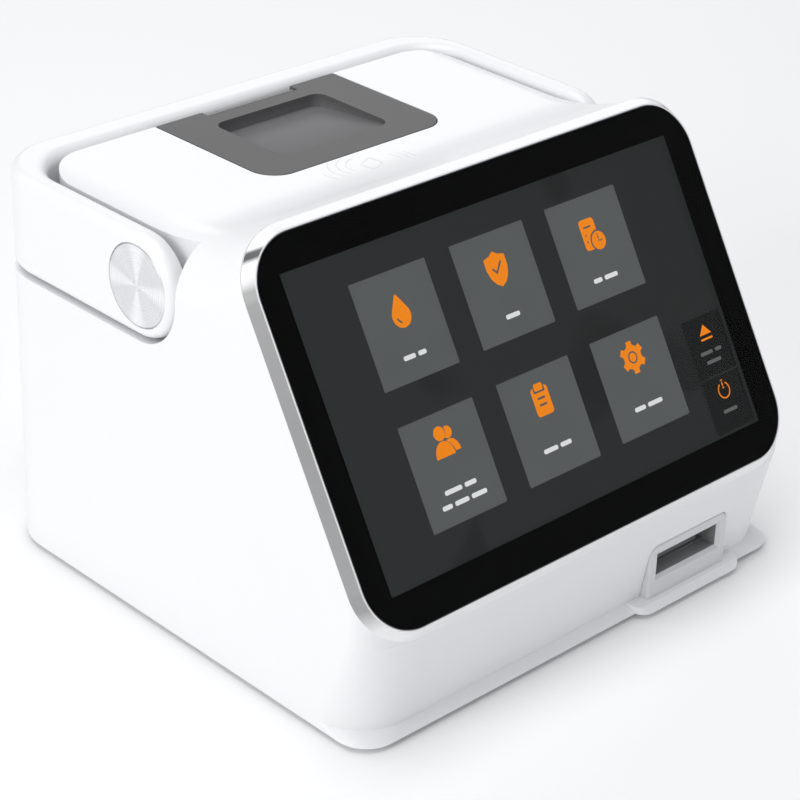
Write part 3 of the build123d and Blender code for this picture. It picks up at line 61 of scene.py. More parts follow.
# ---------------------------------------------------------------- camera, floor and light
CAMERA_PLACE = Vector((-0.5357, -0.5491, 0.4621))
CAMERA_YAW = math.radians(44.341)
CAMERA_PITCH = math.radians(28.003)
CAMERA_ROLL = math.radians(1.8706)
CAMERA_LENS = 113.98
CAMERA_SENSOR = 36.0
CAMERA_CLIP = (0.05, 50.0)
FLOOR_SIZE = 12.0
WORLD_COLOUR = (0.96, 0.97, 1.0, 1.0)
WORLD_STRENGTH = 0.46
PART_MIDDLE = (0.0, 0.0, 0.07)
# name, place, what it points at, size, watts and colour
LIGHTS = (
    ("key", (-1.7, -0.1, 0.75), PART_MIDDLE, (1.3, 0.9), 13.0, (1.0, 0.995, 0.985)),
    ("top", (-0.2, 0.1, 1.75), PART_MIDDLE, (1.5, 1.2), 14.0, WHOLE),
    ("back", (1.3, 1.3, 0.95), PART_MIDDLE, (1.6, 1.0), 5.5, WHOLE),
    ("fill", (1.7, -0.45, 0.35), (0.1, -0.2, 0.0), (1.2, 0.6), 1.3, WHOLE),
)

# ---------------------------------------------------------------- finishes
# Painted reflection on the frame's bevel: its brightness from the foot of the glass (0) to its top (1)
BEVEL_REFLECTION_BANDS = ((0.0, 0.92), (0.04, 0.86), (0.1, 0.34), (0.5, 0.28), (0.9, 0.3), (0.935, 0.9),
               (0.962, 0.92), (0.972, 0.1), (0.985, 0.1), (0.994, 0.94), (1.0, 0.94))
BEVEL_LIP_DROP = 0.06                      # the lip beside the glass lies less than this below its face
# painted highlights: this many bright wedges round a pivot cap
CAP_HIGHLIGHT_WEDGES = 4.0                           # bright wedges round a pivot cap
WHITE_COLOUR = (0.86, 0.865, 0.875)
WHITE_SHADE, WHITE_GRAIN, WHITE_BUMP = 0.985, 2600.0, 0.06
SKIN = 0.02                                # how far a patch reaches past the faces that it covers
# size of the painted shadow on the hinge barrel
BARREL_MARGIN, BARREL_REACH = 0.3, 9.0     # the barrel's patch: past the notch, and up and down
# reach of the painted shade inside the slot
SLOT_SHADE_REACH = 20.0                        # the slot's patch: past both ends of the tray
FACE_BUMP = 0.00005                        # depth of the grain of moulded faces, in metres

# ---------------------------------------------------------------- picture on the glass
# Places on the glass are counted from its lower left corner, depths from its outer face
FOIL = 0.012                               # thickness of each picture element
INK_DEPTH = 0.05
INK_MARGIN = 0.2
TILE_DEPTH, ICON_DEPTH, MARK_DEPTH = 1.88, 1.86, 1.84
GAP_DEPTH = MARK_DEPTH + FOIL              # tile-grey gaps between two orange shapes
TOP_DEPTH = MARK_DEPTH - 0.002             # orange shapes in front of such a gap
HANDS_DEPTH = MARK_DEPTH - 0.016           # the clock's hands, in front of its face
ACTIVE = (9.6, 12.0, 181.8, 114.6)         # lit area: left, low, right, high
TILE_LEFT = (33.8, 76.6, 120.1)
TILE_WIDTH = (32.0, 32.8, 33.2)
TILE_LOW = (23.6, 69.7)
TILE_HEIGHT = 34.6
TILE_STEP = 0.35                           # each column stands this much above the one on its left
TILE_MIDDLES = [left + width / 2 for left, width in zip(TILE_LEFT, TILE_WIDTH)]
TILE_CORNER = 0.25
ICON_RISE = (24.2, 21.6)                   # middle of the icons above the tile's foot, by row
LABEL_RISE = (8.4, 7.4)                    # middle of the labels, the same way
LABEL_HEIGHT, LABEL_SPACE = 1.5, 1.2
DIM_LABEL_HEIGHT = 1.2
SIDE_LEFT = 162.5
SIDE_ROWS = ((12.6, 31.6), (32.4, 53.0))
SIDE_CORNER = 0.3

# ---------------------------------------------------------------- touch mark on the rise
TOUCH_PLACE = (-7.0, 8.8)                  # middle of the mark, X and Y
TOUCH_LINE, TOUCH_RELIEF = 0.32, 0.07
# radius, start and end of each arc, in degrees from X
TOUCH_ARCS = ((8.6, 96.0, 190.0), (11.6, 112.0, 194.0), (14.6, 130.0, 196.0), (18.0, 166.0, 190.0),
              (10.6, -28.0, 16.0), (13.0, -26.0, 10.0), (15.4, -22.0, 6.0))
TOUCH_DIAMOND = (6.0, 3.6, 0.9)            # half length, half width, corner radius
TOUCH_TURN = 55.0                          # the diamond's long way, in degrees from X
TOUCH_TIP = 40.0                           # each corner turns this far to both sides


# ---------------------------------------------------------------- node helpers
class Nodes:
    """Short way to build a material's node tree."""

    MIX_SHARE, MIX_FIRST, MIX_SECOND, MIX_RESULT = 0, 6, 7, 2    # colour sockets of the mix node

    def __init__(self, name):
        self.material = bpy.data.materials.new(name)
        self.material.use_nodes = True
        self.tree = self.material.node_tree
        self.tree.nodes.clear()
        output = self.tree.nodes.new("ShaderNodeOutputMaterial")
        self.shader = self.tree.nodes.new("ShaderNodeBsdfPrincipled")
        self.tree.links.new(self.shader.outputs["BSDF"], output.inputs["Surface"])
        self.coordinates = self.tree.nodes.new("ShaderNodeTexCoord").outputs["Object"]

    def feed(self, socket, value):
        if isinstance(value, bpy.types.NodeSocket):
            self.tree.links.new(value, socket)
        else:
            socket.default_value = value

    def add(self, kind, inputs=(), **settings):
        node = self.tree.nodes.new(kind)
        for key, value in settings.items():
            setattr(node, key, value)
        for key, value in dict(inputs).items():
            self.feed(node.inputs[key], value)
        return node

    def set(self, **values):
        """Values and links on the shader; an underscore in a name stands for a space."""
        for key, value in values.items():
            self.feed(self.shader.inputs[key.replace("_", " ")], value)

    def number(self, operation, *values):
        return self.add("ShaderNodeMath", dict(enumerate(values)), operation=operation).outputs[0]

    def vector(self, operation, *values, output="Vector"):
        node = self.add("ShaderNodeVectorMath", dict(enumerate(values)), operation=operation)
        return node.outputs[output]

    def noise(self, scale, detail=2.0, vector=None):
        inputs = {"Scale": scale, "Detail": detail, "Vector": vector or self.coordinates}
        return self.add("ShaderNodeTexNoise", inputs).outputs["Fac"]

    def stretched(self, *scale):
        return self.add("ShaderNodeMapping", {"Vector": self.coordinates, "Scale": scale}).outputs["Vector"]

    def ramp(self, value, low, high, start=0.3, end=0.7):
        """Colour that goes from low to high as value goes from start to end."""
        node = self.add("ShaderNodeValToRGB", {"Fac": value})
        for element, place, colour in zip(node.color_ramp.elements, (start, end), (low, high)):
            element.position = place
            element.color = (*colour, 1.0)
        return node.outputs["Color"]

    def span(self, value, low, high, start=0.3, end=0.7):
        """Number that goes from low to high as value goes from start to end."""
        node = self.add("ShaderNodeMapRange", {"Value": value, "From Min": start, "From Max": end,
                                               "To Min": low, "To Max": high})
        return node.outputs["Result"]

    def mix(self, share, first, colour):
        """First, or this colour where share is one."""
        inputs = {self.MIX_SHARE: share, self.MIX_FIRST: first, self.MIX_SECOND: (*colour, 1.0)}
        return self.add("ShaderNodeMix", inputs, data_type="RGBA").outputs[self.MIX_RESULT]

    def axis(self, index):
        return self.add("ShaderNodeSeparateXYZ", {0: self.coordinates}).outputs[index]

    def inside(self, centre, reach):
        """One inside the box of this centre and half size, else nought."""
        parts = [self.number("COMPARE", self.axis(i), centre[i], reach[i]) for i in range(3)]
        return self.number("MULTIPLY", self.number("MULTIPLY", parts[0], parts[1]), parts[2])

    def around(self, low, high):
        """Vector and distance from the sideways axis through the middle of a box."""
        centre = (low + high) / 2
        away = self.vector("SUBTRACT", self.coordinates, (0.0, centre.y, centre.z))
        flat = self.vector("MULTIPLY", away, (0.0, 1.0, 1.0))
        return flat, self.vector("LENGTH", flat, output="Value")

    def rings(self, radius, scale):
        inputs = {"Scale": scale, "Detail": 2.0, "W": radius}
        return self.add("ShaderNodeTexNoise", inputs, noise_dimensions="1D").outputs["Fac"]

    def bump(self, height, strength, distance):
        inputs = {"Height": height, "Strength": strength, "Distance": distance}
        return self.add("ShaderNodeBump", inputs).outputs["Normal"]


# ---------------------------------------------------------------- materials
def moulded(name, colour, shade, roughness, grain, strength, coat=0.0, patch=None):
    """Moulded plastic: slow colour drift, uneven gloss and fine grain; patch is a box and the colour of
    painted shade inside it.
    """
    n = Nodes(name)
    drift = n.noise(9.0, 3.0)
    face = n.ramp(drift, tuple(c * shade for c in colour), colour)
    if patch:
        centre, reach, shade_colour = patch
        # painted shade: the patch's box takes its dark colour
        face = n.mix(n.inside(centre, reach), face, shade_colour)
    n.set(Base_Color=face, Roughness=n.span(drift, roughness * 0.88, roughness * 1.12),
          Normal=n.bump(n.noise(grain), strength, FACE_BUMP), Coat_Weight=coat, Coat_Roughness=0.12)
    return n.material


def door_grey():
    """Grey moulded door; painted light makes the floor of its finger recess paler with depth."""
    n = Nodes("door_grey")
    drift = n.noise(9.0, 3.0)
    across = n.number("COMPARE", n.axis(0), 0.0, RECESS_HALF_WIDTH * MM)
    depth = n.span(n.axis(2), 0.0, 1.0, DOOR_HIGH.z - RECESS_SHALLOW * MM, DOOR_HIGH.z - RECESS_DEEP * MM)
    lid = n.ramp(drift, (0.104, 0.104, 0.105), (0.11, 0.11, 0.111))
    # painted light: the recess floor is coloured paler towards its deep end
    colour = n.mix(n.number("MULTIPLY", across, depth), lid, (0.17, 0.17, 0.177))
    n.set(Base_Color=colour, Roughness=n.span(drift, 0.48, 0.58), Specular_IOR_Level=0.3,
          Normal=n.bump(n.noise(3200.0), 0.15, FACE_BUMP))
    return n.material


def brushed(name, colour, roughness, stretch, strength):
    """Metal with fine lines along one direction."""
    n = Nodes(name)
    lines = n.noise(1.0, 3.0, n.stretched(*stretch))
    n.set(Metallic=1.0, Base_Color=n.ramp(lines, tuple(c * 0.9 for c in colour), colour),
          Roughness=n.span(lines, roughness * 0.8, roughness * 1.25),
          Normal=n.bump(lines, strength, 0.00002))
    return n.material


def frame_bevel():
    """Satin metal round the glass with painted reflections: grey flanks, painted highlights on the corners
    and lip, a dark band near the top.
    """
    n = Nodes("frame_metal")
    lines = n.noise(1.0, 2.0, n.stretched(60.0, 420.0, 420.0))
    from_edge = n.vector("SUBTRACT", n.coordinates, (0.0, GLASS_LOW.y, GLASS_LOW.z))
    up = n.vector("DOT_PRODUCT", from_edge, (0.0, TILT_COS / MM, TILT_SIN / MM), output="Value")
    # painted reflection: bands of brightness up the bevel
    reflection_bands = n.add("ShaderNodeValToRGB", {"Fac": n.span(up, 0.0, 1.0, 0.0, GLASS_HEIGHT)})
    ramp = reflection_bands.color_ramp
    for place, level in BEVEL_REFLECTION_BANDS[1:-1]:
        ramp.elements.new(place)
    for element, (place, level) in zip(ramp.elements, BEVEL_REFLECTION_BANDS):
        element.position = place
        element.color = (level, level, level * 1.01, 1.0)
    painted_flank_reflection = n.vector("MULTIPLY", reflection_bands.outputs["Color"], n.ramp(lines, (0.975, 0.975, 0.975), WHOLE))
    out = n.vector("DOT_PRODUCT", from_edge, (0.0, -TILT_SIN / MM, TILT_COS / MM), output="Value")
    glass_face = GLASS_THICKNESS * TILT_COS * TILT_COS
    # painted highlight: the lip beside the glass is coloured near white
    lip_highlight_mask = n.number("GREATER_THAN", out, glass_face - BEVEL_LIP_DROP)
    n.set(Metallic=0.3, Base_Color=n.mix(lip_highlight_mask, painted_flank_reflection, (0.95, 0.95, 0.96)),
          Roughness=n.span(lines, 0.36, 0.44))
    return n.material


def turned_cap():
    """Round turned metal: fine rings about the pivot, and painted highlights as bright wedges that meet in
    its middle.
    """
    n = Nodes("turned_cap")
    low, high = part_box("pivot_cap_left")
    flat, radius = n.around(low, high)
    rings = n.rings(radius, 9000.0)
    tangent = n.vector("NORMALIZE", n.vector("CROSS_PRODUCT", (1.0, 0.0, 0.0), flat))
    parts = n.add("ShaderNodeSeparateXYZ", {0: flat}).outputs
    # painted highlight: brightness that turns with the angle round the pivot
    turn = n.number("ARCTAN2", parts[1], parts[2])
    wave = n.number("COSINE", n.number("MULTIPLY", turn, CAP_HIGHLIGHT_WEDGES))
    painted_wedge_highlights = n.ramp(wave, (0.8, 0.8, 0.81), WHOLE, 0.1, 0.95)
    shade = n.vector("MULTIPLY", painted_wedge_highlights, n.ramp(rings, (0.86, 0.865, 0.88), (0.95, 0.955, 0.96)))
    n.set(Metallic=0.7, Base_Color=shade, Roughness=n.span(rings, 0.24, 0.36), Anisotropic=0.85,
          Tangent=tangent, Normal=n.bump(rings, 0.12, 0.00001))
    return n.material


def rubber():
    n = Nodes("rubber")
    fine = n.noise(1800.0)
    n.set(Base_Color=n.ramp(fine, (0.012, 0.012, 0.013), (0.03, 0.03, 0.031)),
          Roughness=n.span(fine, 0.62, 0.8), Normal=n.bump(fine, 0.3, 0.00008))
    return n.material


def clear_glass(name, colour, index):
    """Clear glass; a low index stands for an anti-reflective layer."""
    n = Nodes(name)
    n.set(Base_Color=(*colour, 1.0), Transmission_Weight=1.0, IOR=index,
          Roughness=n.span(n.noise(22.0, 4.0), 0.0, 0.03, 0.4, 0.8))
    return n.material


def lit(n, picture):
    """The shader gives off this picture and nothing else."""
    n.set(Base_Color=(0.0, 0.0, 0.0, 1.0), Roughness=0.6, Specular_IOR_Level=0.0,
          Emission_Color=picture, Emission_Strength=1.0)
    return n.material


def glow(name, colour, shade):
    """Lit picture element of the display, with the slight unevenness of a backlight."""
    n = Nodes(name)
    return lit(n, n.ramp(n.noise(60.0, 1.0), tuple(c * shade for c in colour), colour))


def wallpaper():
    """Dark picture behind the tiles: faint angular patches that fade to the right."""
    n = Nodes("display_picture")
    cells = n.add("ShaderNodeTexVoronoi", {"Vector": n.stretched(1.0, 0.6, 1.4), "Scale": 26.0,
                                           "Randomness": 0.9}, distance="MANHATTAN")
    patch = n.add("ShaderNodeSeparateColor", {"Color": cells.outputs["Color"]}).outputs[0]
    both = n.number("MULTIPLY", patch, n.noise(14.0))
    patches = n.ramp(both, (0.0262, 0.029, 0.029), (0.0205, 0.0228, 0.0228), 0.36, 0.44)
    middle, half = 0.5, GLASS_WIDTH / 2 * MM
    across = n.number("ADD", n.axis(0), middle)
    fade = n.ramp(across, WHOLE, (0.84, 0.84, 0.84), middle - half, middle + half)
    return lit(n, n.vector("MULTIPLY", patches, fade))


def ink():
    n = Nodes("black_ink")
    fine = n.noise(400.0)
    n.set(Base_Color=n.ramp(fine, (0.0018, 0.0018, 0.0019), (0.0026, 0.0026, 0.0027)),
          Roughness=n.span(fine, 0.5, 0.6), Specular_IOR_Level=0.02)
    return n.material


def circuit_board():
    """Solder mask over fine copper tracks."""
    n = Nodes("circuit_board")
    brick = n.add("ShaderNodeTexBrick", {"Vector": n.coordinates, "Scale": 260.0, "Mortar Size": 0.03,
                                         "Color1": (0.008, 0.11, 0.04, 1), "Color2": (0.01, 0.14, 0.05, 1),
                                         "Mortar": (0.02, 0.22, 0.09, 1)})
    n.set(Base_Color=brick.outputs["Color"], Roughness=0.35,
          Normal=n.bump(brick.outputs["Fac"], 0.2, 0.00003))
    return n.material


def paper():
    """Wound paper, whose layers show at the ends of the roll."""
    n = Nodes("thermal_paper")
    low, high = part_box("paper_roll")
    radius = n.around(low, high)[1]
    layers = n.rings(radius, 8000.0)
    n.set(Base_Color=n.ramp(layers, (0.72, 0.72, 0.7), (0.88, 0.88, 0.86)), Roughness=0.7,
          Normal=n.bump(n.noise(700.0, 4.0), 0.1, 0.00004))
    return n.material


def floor_material():
    n = Nodes("floor")
    n.set(Base_Color=n.ramp(n.noise(1.5), (0.95, 0.95, 0.953), (0.97, 0.97, 0.97)), Roughness=0.75)
    return n.material


def barrel_shadow_patch():
    """Box and colour of a painted shadow on the hinge barrel, which stands in the door's notch: door grey
    in place of the shadow gap there.
    """
    centre = Vector((0.0, DOOR_HIGH.y - NOTCH_DEPTH / 2 * MM, DOOR_HIGH.z))
    reach = Vector((NOTCH_HALF_WIDTH, NOTCH_DEPTH / 2 + BARREL_MARGIN, BARREL_REACH)) * MM
    return centre, reach, (0.1, 0.1, 0.101)


def slot_shade_patch():
    """Box and colour of painted shade inside the slot, dark grey on its inner walls; the slot is the tray's
    outline and its gaps.
    """
    half = (TRAY_HIGH - TRAY_LOW) / 2
    reach = half + Vector((TRAY_SIDE_GAP + SKIN, SLOT_SHADE_REACH, TRAY_LID_GAP + SKIN)) * MM
    return (TRAY_LOW + TRAY_HIGH) / 2, reach, (0.27, 0.275, 0.275)


def white(name, roughness, coat, patch=None):
    return moulded(name, WHITE_COLOUR, WHITE_SHADE, roughness, WHITE_GRAIN, WHITE_BUMP, coat, patch)


BLACK = moulded("black_plastic", (0.014, 0.014, 0.015), 0.9, 0.38, 3000.0, 0.1)
BOARD = circuit_board()
CAP = turned_cap()
DARK = moulded("dark_plastic", (0.03, 0.031, 0.033), 0.9, 0.5, 3000.0, 0.2)
IVORY = moulded("gear_plastic", (0.74, 0.72, 0.66), 0.96, 0.42, 2500.0, 0.08)
RUBBER = rubber()
STEEL = brushed("plated_steel", (0.62, 0.63, 0.64), 0.3, (900.0, 60.0, 900.0), 0.08)

FINISH = {
    "housing": white("housing_shell", 0.34, 0.25, barrel_shadow_patch()),
    "base_tray": white("white_shell", 0.34, 0.25),
    "handle": white("white_handle", 0.36, 0.2),
    "slot_panel": moulded("slot_surround", (0.69, 0.7, 0.71), 0.98, 0.36, 2600.0, 0.06, 0.1, slot_shade_patch()),
    "grip_cover": moulded("light_grey", (0.6, 0.61, 0.62), 0.96, 0.5, 2600.0, 0.12),
    "printer_door": door_grey(),
    "screen_frame": frame_bevel(),
    "cover_glass": clear_glass("cover_glass", (0.98, 0.985, 0.985), 1.13),
    "display_panel": wallpaper(),
    "optics_lens": clear_glass("lens_glass", (0.75, 0.82, 0.95), 1.46),
    "cassette_tray": moulded("tray_grey", (0.27, 0.275, 0.278), 0.95, 0.5, 3000.0, 0.15),
    "tray_guide": moulded("guide_grey", (0.26, 0.262, 0.265), 0.93, 0.55, 3000.0, 0.15),
    "paper_roll": paper(),
    "battery_pack": moulded("battery_wrap", (0.015, 0.06, 0.2), 0.9, 0.3, 500.0, 0.15),
    "pivot_cap_left": CAP, "pivot_cap_right": CAP,
    "rubber_feet": RUBBER, "handle_rest_pads": RUBBER, "platen_roller": RUBBER,
    "tray_rack": IVORY, "tray_pinion": IVORY, "printer_drive_gear": IVORY,
    "paper_bucket": DARK, "optical_head": DARK, "rear_panel": DARK,
    "main_board": BOARD, "display_board": BOARD, "optics_board": BOARD, "contactless_board": BOARD,
    "board_chips": BLACK, "switch_frame": BLACK, "power_rocker": BLACK, "power_inlet": BLACK,
}
INK = ink()
TILE = glow("tile_grey", (0.098, 0.105, 0.105), 0.96)
ORANGE = glow("icon_orange", (0.86, 0.24, 0.012), 0.97)
LABEL = glow("label_white", (0.72, 0.74, 0.74), 0.96)
LABEL_DIM = glow("label_dim", (0.12, 0.125, 0.125), 0.96)
SIDE_KEY = glow("side_key", (0.0125, 0.0132, 0.0135), 0.95)
MARK_WHITE = moulded("mark_relief", (0.7, 0.705, 0.715), 0.985, 0.4, 2600.0, 0.04)


def dress_part():
    for name, node in nodes.items():
        node.data.materials.clear()
        node.data.materials.append(FINISH.get(name, STEEL))


# ---------------------------------------------------------------- flat shapes
def arc(cx, cy, radius, start, end, steps=10):
    turns = [math.radians(start + (end - start) * i / steps) for i in range(steps + 1)]
    return [(cx + radius * math.cos(turn), cy + radius * math.sin(turn)) for turn in turns]


def circle(cx, cy, radius):
    return arc(cx, cy, radius, 0, 360, 28)[:-1]


def rounded(x0, y0, x1, y1, corner, steps=6):
    points = []
    for cx, cy, start in ((x1 - corner, y0 + corner, -90), (x1 - corner, y1 - corner, 0),
                          (x0 + corner, y1 - corner, 90), (x0 + corner, y0 + corner, 180)):
        points += arc(cx, cy, corner, start, start + 90, steps)
    return points


def bar(cx, cy, width, height):
    return rounded(cx - width / 2, cy - height / 2, cx + width / 2, cy + height / 2, height * 0.4, 3)


def moved(points, cx, cy):
    return [(cx + x, cy + y) for x, y in points]


def screen_matrix(depth):
    """Matrix of the glass plane at a depth; local x runs right, local y up the glass, local z outwards."""
    corner = Vector((GLASS_LOW.x, GLASS_LOW.y, GLASS_LOW.z + GLASS_THICKNESS * MM * TILT_COS))
    right, up = Vector((1, 0, 0)), Vector((0, TILT_COS, TILT_SIN))
    out = right.cross(up)
    matrix = (Matrix((right, up, out)).transposed() * MM).to_4x4()
    matrix.translation = corner - out * depth * MM
    return matrix


def sheet_mesh(name, outlines, thickness, matrix):
    """Thin solid from closed outlines; outlines after a filled one may be its holes."""
    curve = bpy.data.curves.new(name, "CURVE")
    curve.dimensions = "2D"
    curve.fill_mode = "BOTH"
    curve.extrude = thickness / 2
    for outline in outlines:
        spline = curve.splines.new("POLY")
        spline.points.add(len(outline) - 1)
        for point, (x, y) in zip(spline.points, outline):
            point.co = (x, y, 0.0, 1.0)
        spline.use_cyclic_u = True
    holder = bpy.data.objects.new(name + "_curve", curve)
    bpy.context.scene.collection.objects.link(holder)
    mesh = bpy.data.meshes.new_from_object(holder)
    mesh.name = name
    bpy.data.objects.remove(holder)
    bpy.data.curves.remove(curve)
    mesh.transform(matrix)
    return mesh


def new_piece(name, mesh, material):
    piece = bpy.data.objects.new(name, mesh)
    bpy.context.scene.collection.objects.link(piece)
    mesh.materials.append(material)
    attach(piece, "reader")


def drawn(name, outlines, material, depth):
    new_piece(name, sheet_mesh(name, outlines, FOIL, screen_matrix(depth)), material)


# ---------------------------------------------------------------- touch mark
def on_rise(x, y, height):
    """Point above the concave rise between the deck and the screen's top edge."""
    start = DOOR_LOW.y / MM
    run = start - y
    drop = math.sqrt(RISE_RADIUS * RISE_RADIUS - run * run)
    centre = DOOR_HIGH.z / MM + RISE_RADIUS
    share = (RISE_RADIUS - height) / RISE_RADIUS
    return Vector((x, start - run * share, centre - drop * share)) * MM


def line_mesh(name, path, closed):
    """Raised line of even width that follows the rise; path is a list of X, Y places."""
    mesh = bpy.data.meshes.new(name)
    count = len(path)
    points, faces = [], []
    for i, (x, y) in enumerate(path):
        before = path[i - 1] if closed or i else path[i]
        after = path[(i + 1) % count] if closed or i + 1 < count else path[i]
        along = (Vector(after) - Vector(before)).normalized()
        side = Vector((-along.y, along.x)) * TOUCH_LINE / 2
        for sign, height in ((-1, 0.0), (1, 0.0), (1, TOUCH_RELIEF), (-1, TOUCH_RELIEF)):
            points.append(on_rise(x + sign * side.x, y + sign * side.y, height))
    for i in range(count if closed else count - 1):
        a, b = 4 * i, 4 * ((i + 1) % count)
        faces += [(a + k, b + k, b + (k + 1) % 4, a + (k + 1) % 4) for k in range(4)]
    if not closed:
        faces += [(0, 1, 2, 3), tuple(4 * (count - 1) + k for k in (3, 2, 1, 0))]
    mesh.from_pydata(points, [], faces)
    mesh.update()
    return mesh


def diamond_path(cx, cy):
    half_long, half_wide, corner = TOUCH_DIAMOND
    path = []
    for quarter, reach in enumerate((half_long, half_wide, half_long, half_wide)):
        turn = TOUCH_TURN + 90.0 * quarter
        x = cx + (reach - corner) * math.cos(math.radians(turn))
        y = cy + (reach - corner) * math.sin(math.radians(turn))
        path += arc(x, y, corner, turn - TOUCH_TIP, turn + TOUCH_TIP, 6)
    return path


def build_touch_mark():
    for i, (radius, start, end) in enumerate(TOUCH_ARCS):
        name = f"touch_arc_{i}"
        mesh = line_mesh(name, arc(*TOUCH_PLACE, radius, start, end, 24), closed=False)
        new_piece(name, mesh, MARK_WHITE)
    mesh = line_mesh("touch_diamond", diamond_path(*TOUCH_PLACE), closed=True)
    new_piece("touch_diamond", mesh, MARK_WHITE)


# ---------------------------------------------------------------- display
def build_ink_mask():
    edge = rounded(INK_MARGIN, INK_MARGIN, GLASS_WIDTH - INK_MARGIN, GLASS_HEIGHT - INK_MARGIN,
                   GLASS_ROUND - INK_MARGIN, 14)
    drawn("glass_ink", [edge, rounded(*ACTIVE, 0.3, 2)], INK, INK_DEPTH)


def build_tiles():
    for row, row_low in enumerate(TILE_LOW):
        for column, (left, width) in enumerate(zip(TILE_LEFT, TILE_WIDTH)):
            low = row_low + TILE_STEP * column
            outline = rounded(left, low, left + width, low + TILE_HEIGHT, TILE_CORNER, 2)
            drawn(f"tile_{row}_{column}", [outline], TILE, TILE_DEPTH)


def marked_icon(name, shape, marks):
    """Orange shape with tile-grey marks in front of it."""
    drawn(f"icon_{name}", [shape], ORANGE, ICON_DEPTH)
    drawn(f"icon_{name}_mark", marks, TILE, MARK_DEPTH)


def drop_icon(cx, cy):
    bulb_y = cy - 1.4
    body = arc(cx, bulb_y, 3.8, -212, 32, 22) + [(cx + 0.3, cy + 5.4), (cx - 0.3, cy + 5.4)]
    shine = arc(cx, bulb_y, 2.3, 190, 255, 6) + arc(cx, bulb_y, 1.7, 255, 190, 6)
    marked_icon("drop", body, [shine])


def shield_icon(cx, cy):
    half = [(0.0, 5.8), (1.8, 4.6), (4.6, 3.9), (4.6, 0.2), (3.7, -2.7), (2.1, -4.7), (0.0, -5.9)]
    other_half = [(-x, y) for x, y in half[-2:0:-1]]
    tick = [(-2.3, 0.2), (-0.6, -1.7), (2.6, 1.9), (2.1, 2.4), (-0.6, -0.7), (-1.8, 0.7)]
    marked_icon("shield", moved(half + other_half, cx, cy), [moved(tick, cx, cy)])


def record_icon(cx, cy):
    """Page of the record icon; its clock, in front of the page's lower right corner, is drawn by
    record_clock.
    """
    page = rounded(cx - 4.2, cy - 5.2, cx + 2.8, cy + 5.2, 1.4)
    heading = rounded(cx - 2.6, cy + 2.2, cx + 0.8, cy + 2.8, 0.2)
    dots = [rounded(cx - 2.8, cy + low, cx - 2.2, cy + low + 0.6, 0.2) for low in (-0.4, -2.6)]
    marked_icon("record", page, [heading] + dots)


def record_clock(cx, cy):
    drawn("icon_record_clock_gap", [circle(cx, cy, 3.7)], TILE, GAP_DEPTH)
    drawn("icon_record_clock", [circle(cx, cy, 3.1)], ORANGE, TOP_DEPTH)
    hands = [bar(cx, cy + 1.1, 0.45, 2.4), bar(cx + 0.8, cy - 0.1, 1.7, 0.45)]
    drawn("icon_record_hands", hands, TILE, HANDS_DEPTH)


def clip_icon(cx, cy):
    page = rounded(cx - 3.7, cy - 5.2, cx + 3.7, cy + 4.2, 1.1)
    lines = [rounded(cx - 1.7, cy + low, cx + 1.7, cy + low + 0.7, 0.3) for low in (0.2, -2.0)]
    gap = rounded(cx - 2.5, cy + 2.4, cx + 2.5, cy + 4.2, 0.4)
    clip = rounded(cx - 1.9, cy + 3.0, cx + 1.9, cy + 5.4, 0.6)
    drawn("icon_clip", [page], ORANGE, ICON_DEPTH)
    drawn("icon_clip_mark", lines + [gap], TILE, GAP_DEPTH)
    drawn("icon_clip_top", [clip], ORANGE, TOP_DEPTH)


def bust(cx, cy, size):
    """Outlines of a person's trunk and head."""
    foot = cy - 4.6 * size
    trunk = arc(cx, foot, 4.0 * size, 0, 180, 14)
    return [(x, foot + (y - foot) * 1.25) for x, y in trunk], circle(cx, cy + 2.9 * size, 2.3 * size)


def users_icon(cx, cy):
    """Two people, the nearer one set off by a gap."""
    for i, outline in enumerate(bust(cx + 1.9, cy, 0.86)):
        drawn(f"icon_user_back_{i}", [outline], ORANGE, ICON_DEPTH + FOIL * i)
    for i, outline in enumerate(bust(cx - 1.3, cy, 1.12)):
        drawn(f"icon_user_gap_{i}", [outline], TILE, GAP_DEPTH)
    for i, outline in enumerate(bust(cx - 1.3, cy, 1.0)):
        drawn(f"icon_user_{i}", [outline], ORANGE, TOP_DEPTH)


def gear_icon(cx, cy):
    points = []
    for tooth in range(6):
        for offset, radius in ((-30, 4.1), (-18, 4.2), (-12, 5.6), (12, 5.6), (18, 4.2)):
            turn = math.radians(90 + 60 * tooth + offset)
            points.append((radius * math.cos(turn), radius * math.sin(turn)))
    marked_icon("gear", moved(points, cx, cy), [circle(cx, cy, 2.1), circle(cx, cy, 1.55)])


def build_icons():
    left, middle, right = TILE_MIDDLES
    low, high = [foot + rise for foot, rise in zip(TILE_LOW, ICON_RISE)]
    drop_icon(left, high)
    shield_icon(middle, high + 1.4)
    record_icon(right, high + 1.0)
    gear_icon(right, low + 1.4)
    clip_icon(middle, low + 0.8)
    users_icon(left, low + 1.0)
    record_clock(right + 2.4, high - 1.9)


def label(name, cx, cy, widths, material=LABEL, height=LABEL_HEIGHT):
    """Row of plain bars, one for each word."""
    x = cx - (sum(widths) + LABEL_SPACE * (len(widths) - 1)) / 2
    bars = []
    for width in widths:
        bars.append(bar(x + width / 2, cy, width, height))
        x += width + LABEL_SPACE
    drawn(name, bars, material, MARK_DEPTH)


def build_labels():
    left, middle, right = TILE_MIDDLES
    low, high = [foot + rise for foot, rise in zip(TILE_LOW, LABEL_RISE)]
    label("label_top_left", left, high, (5.0, 3.4))
    label("label_top_middle", middle, high, (6.2,))
    label("label_top_right", right, high, (4.0, 6.2))
    label("label_low_left_upper", left, low + 1.8, (7.4, 5.0))
    label("label_low_left_lower", left, low - 2.4, (4.2, 6.0, 6.6))
    label("label_low_middle", middle, low + 0.6, (6.4, 5.0))
    label("label_low_right", right, low + 0.6, (5.2, 7.0))


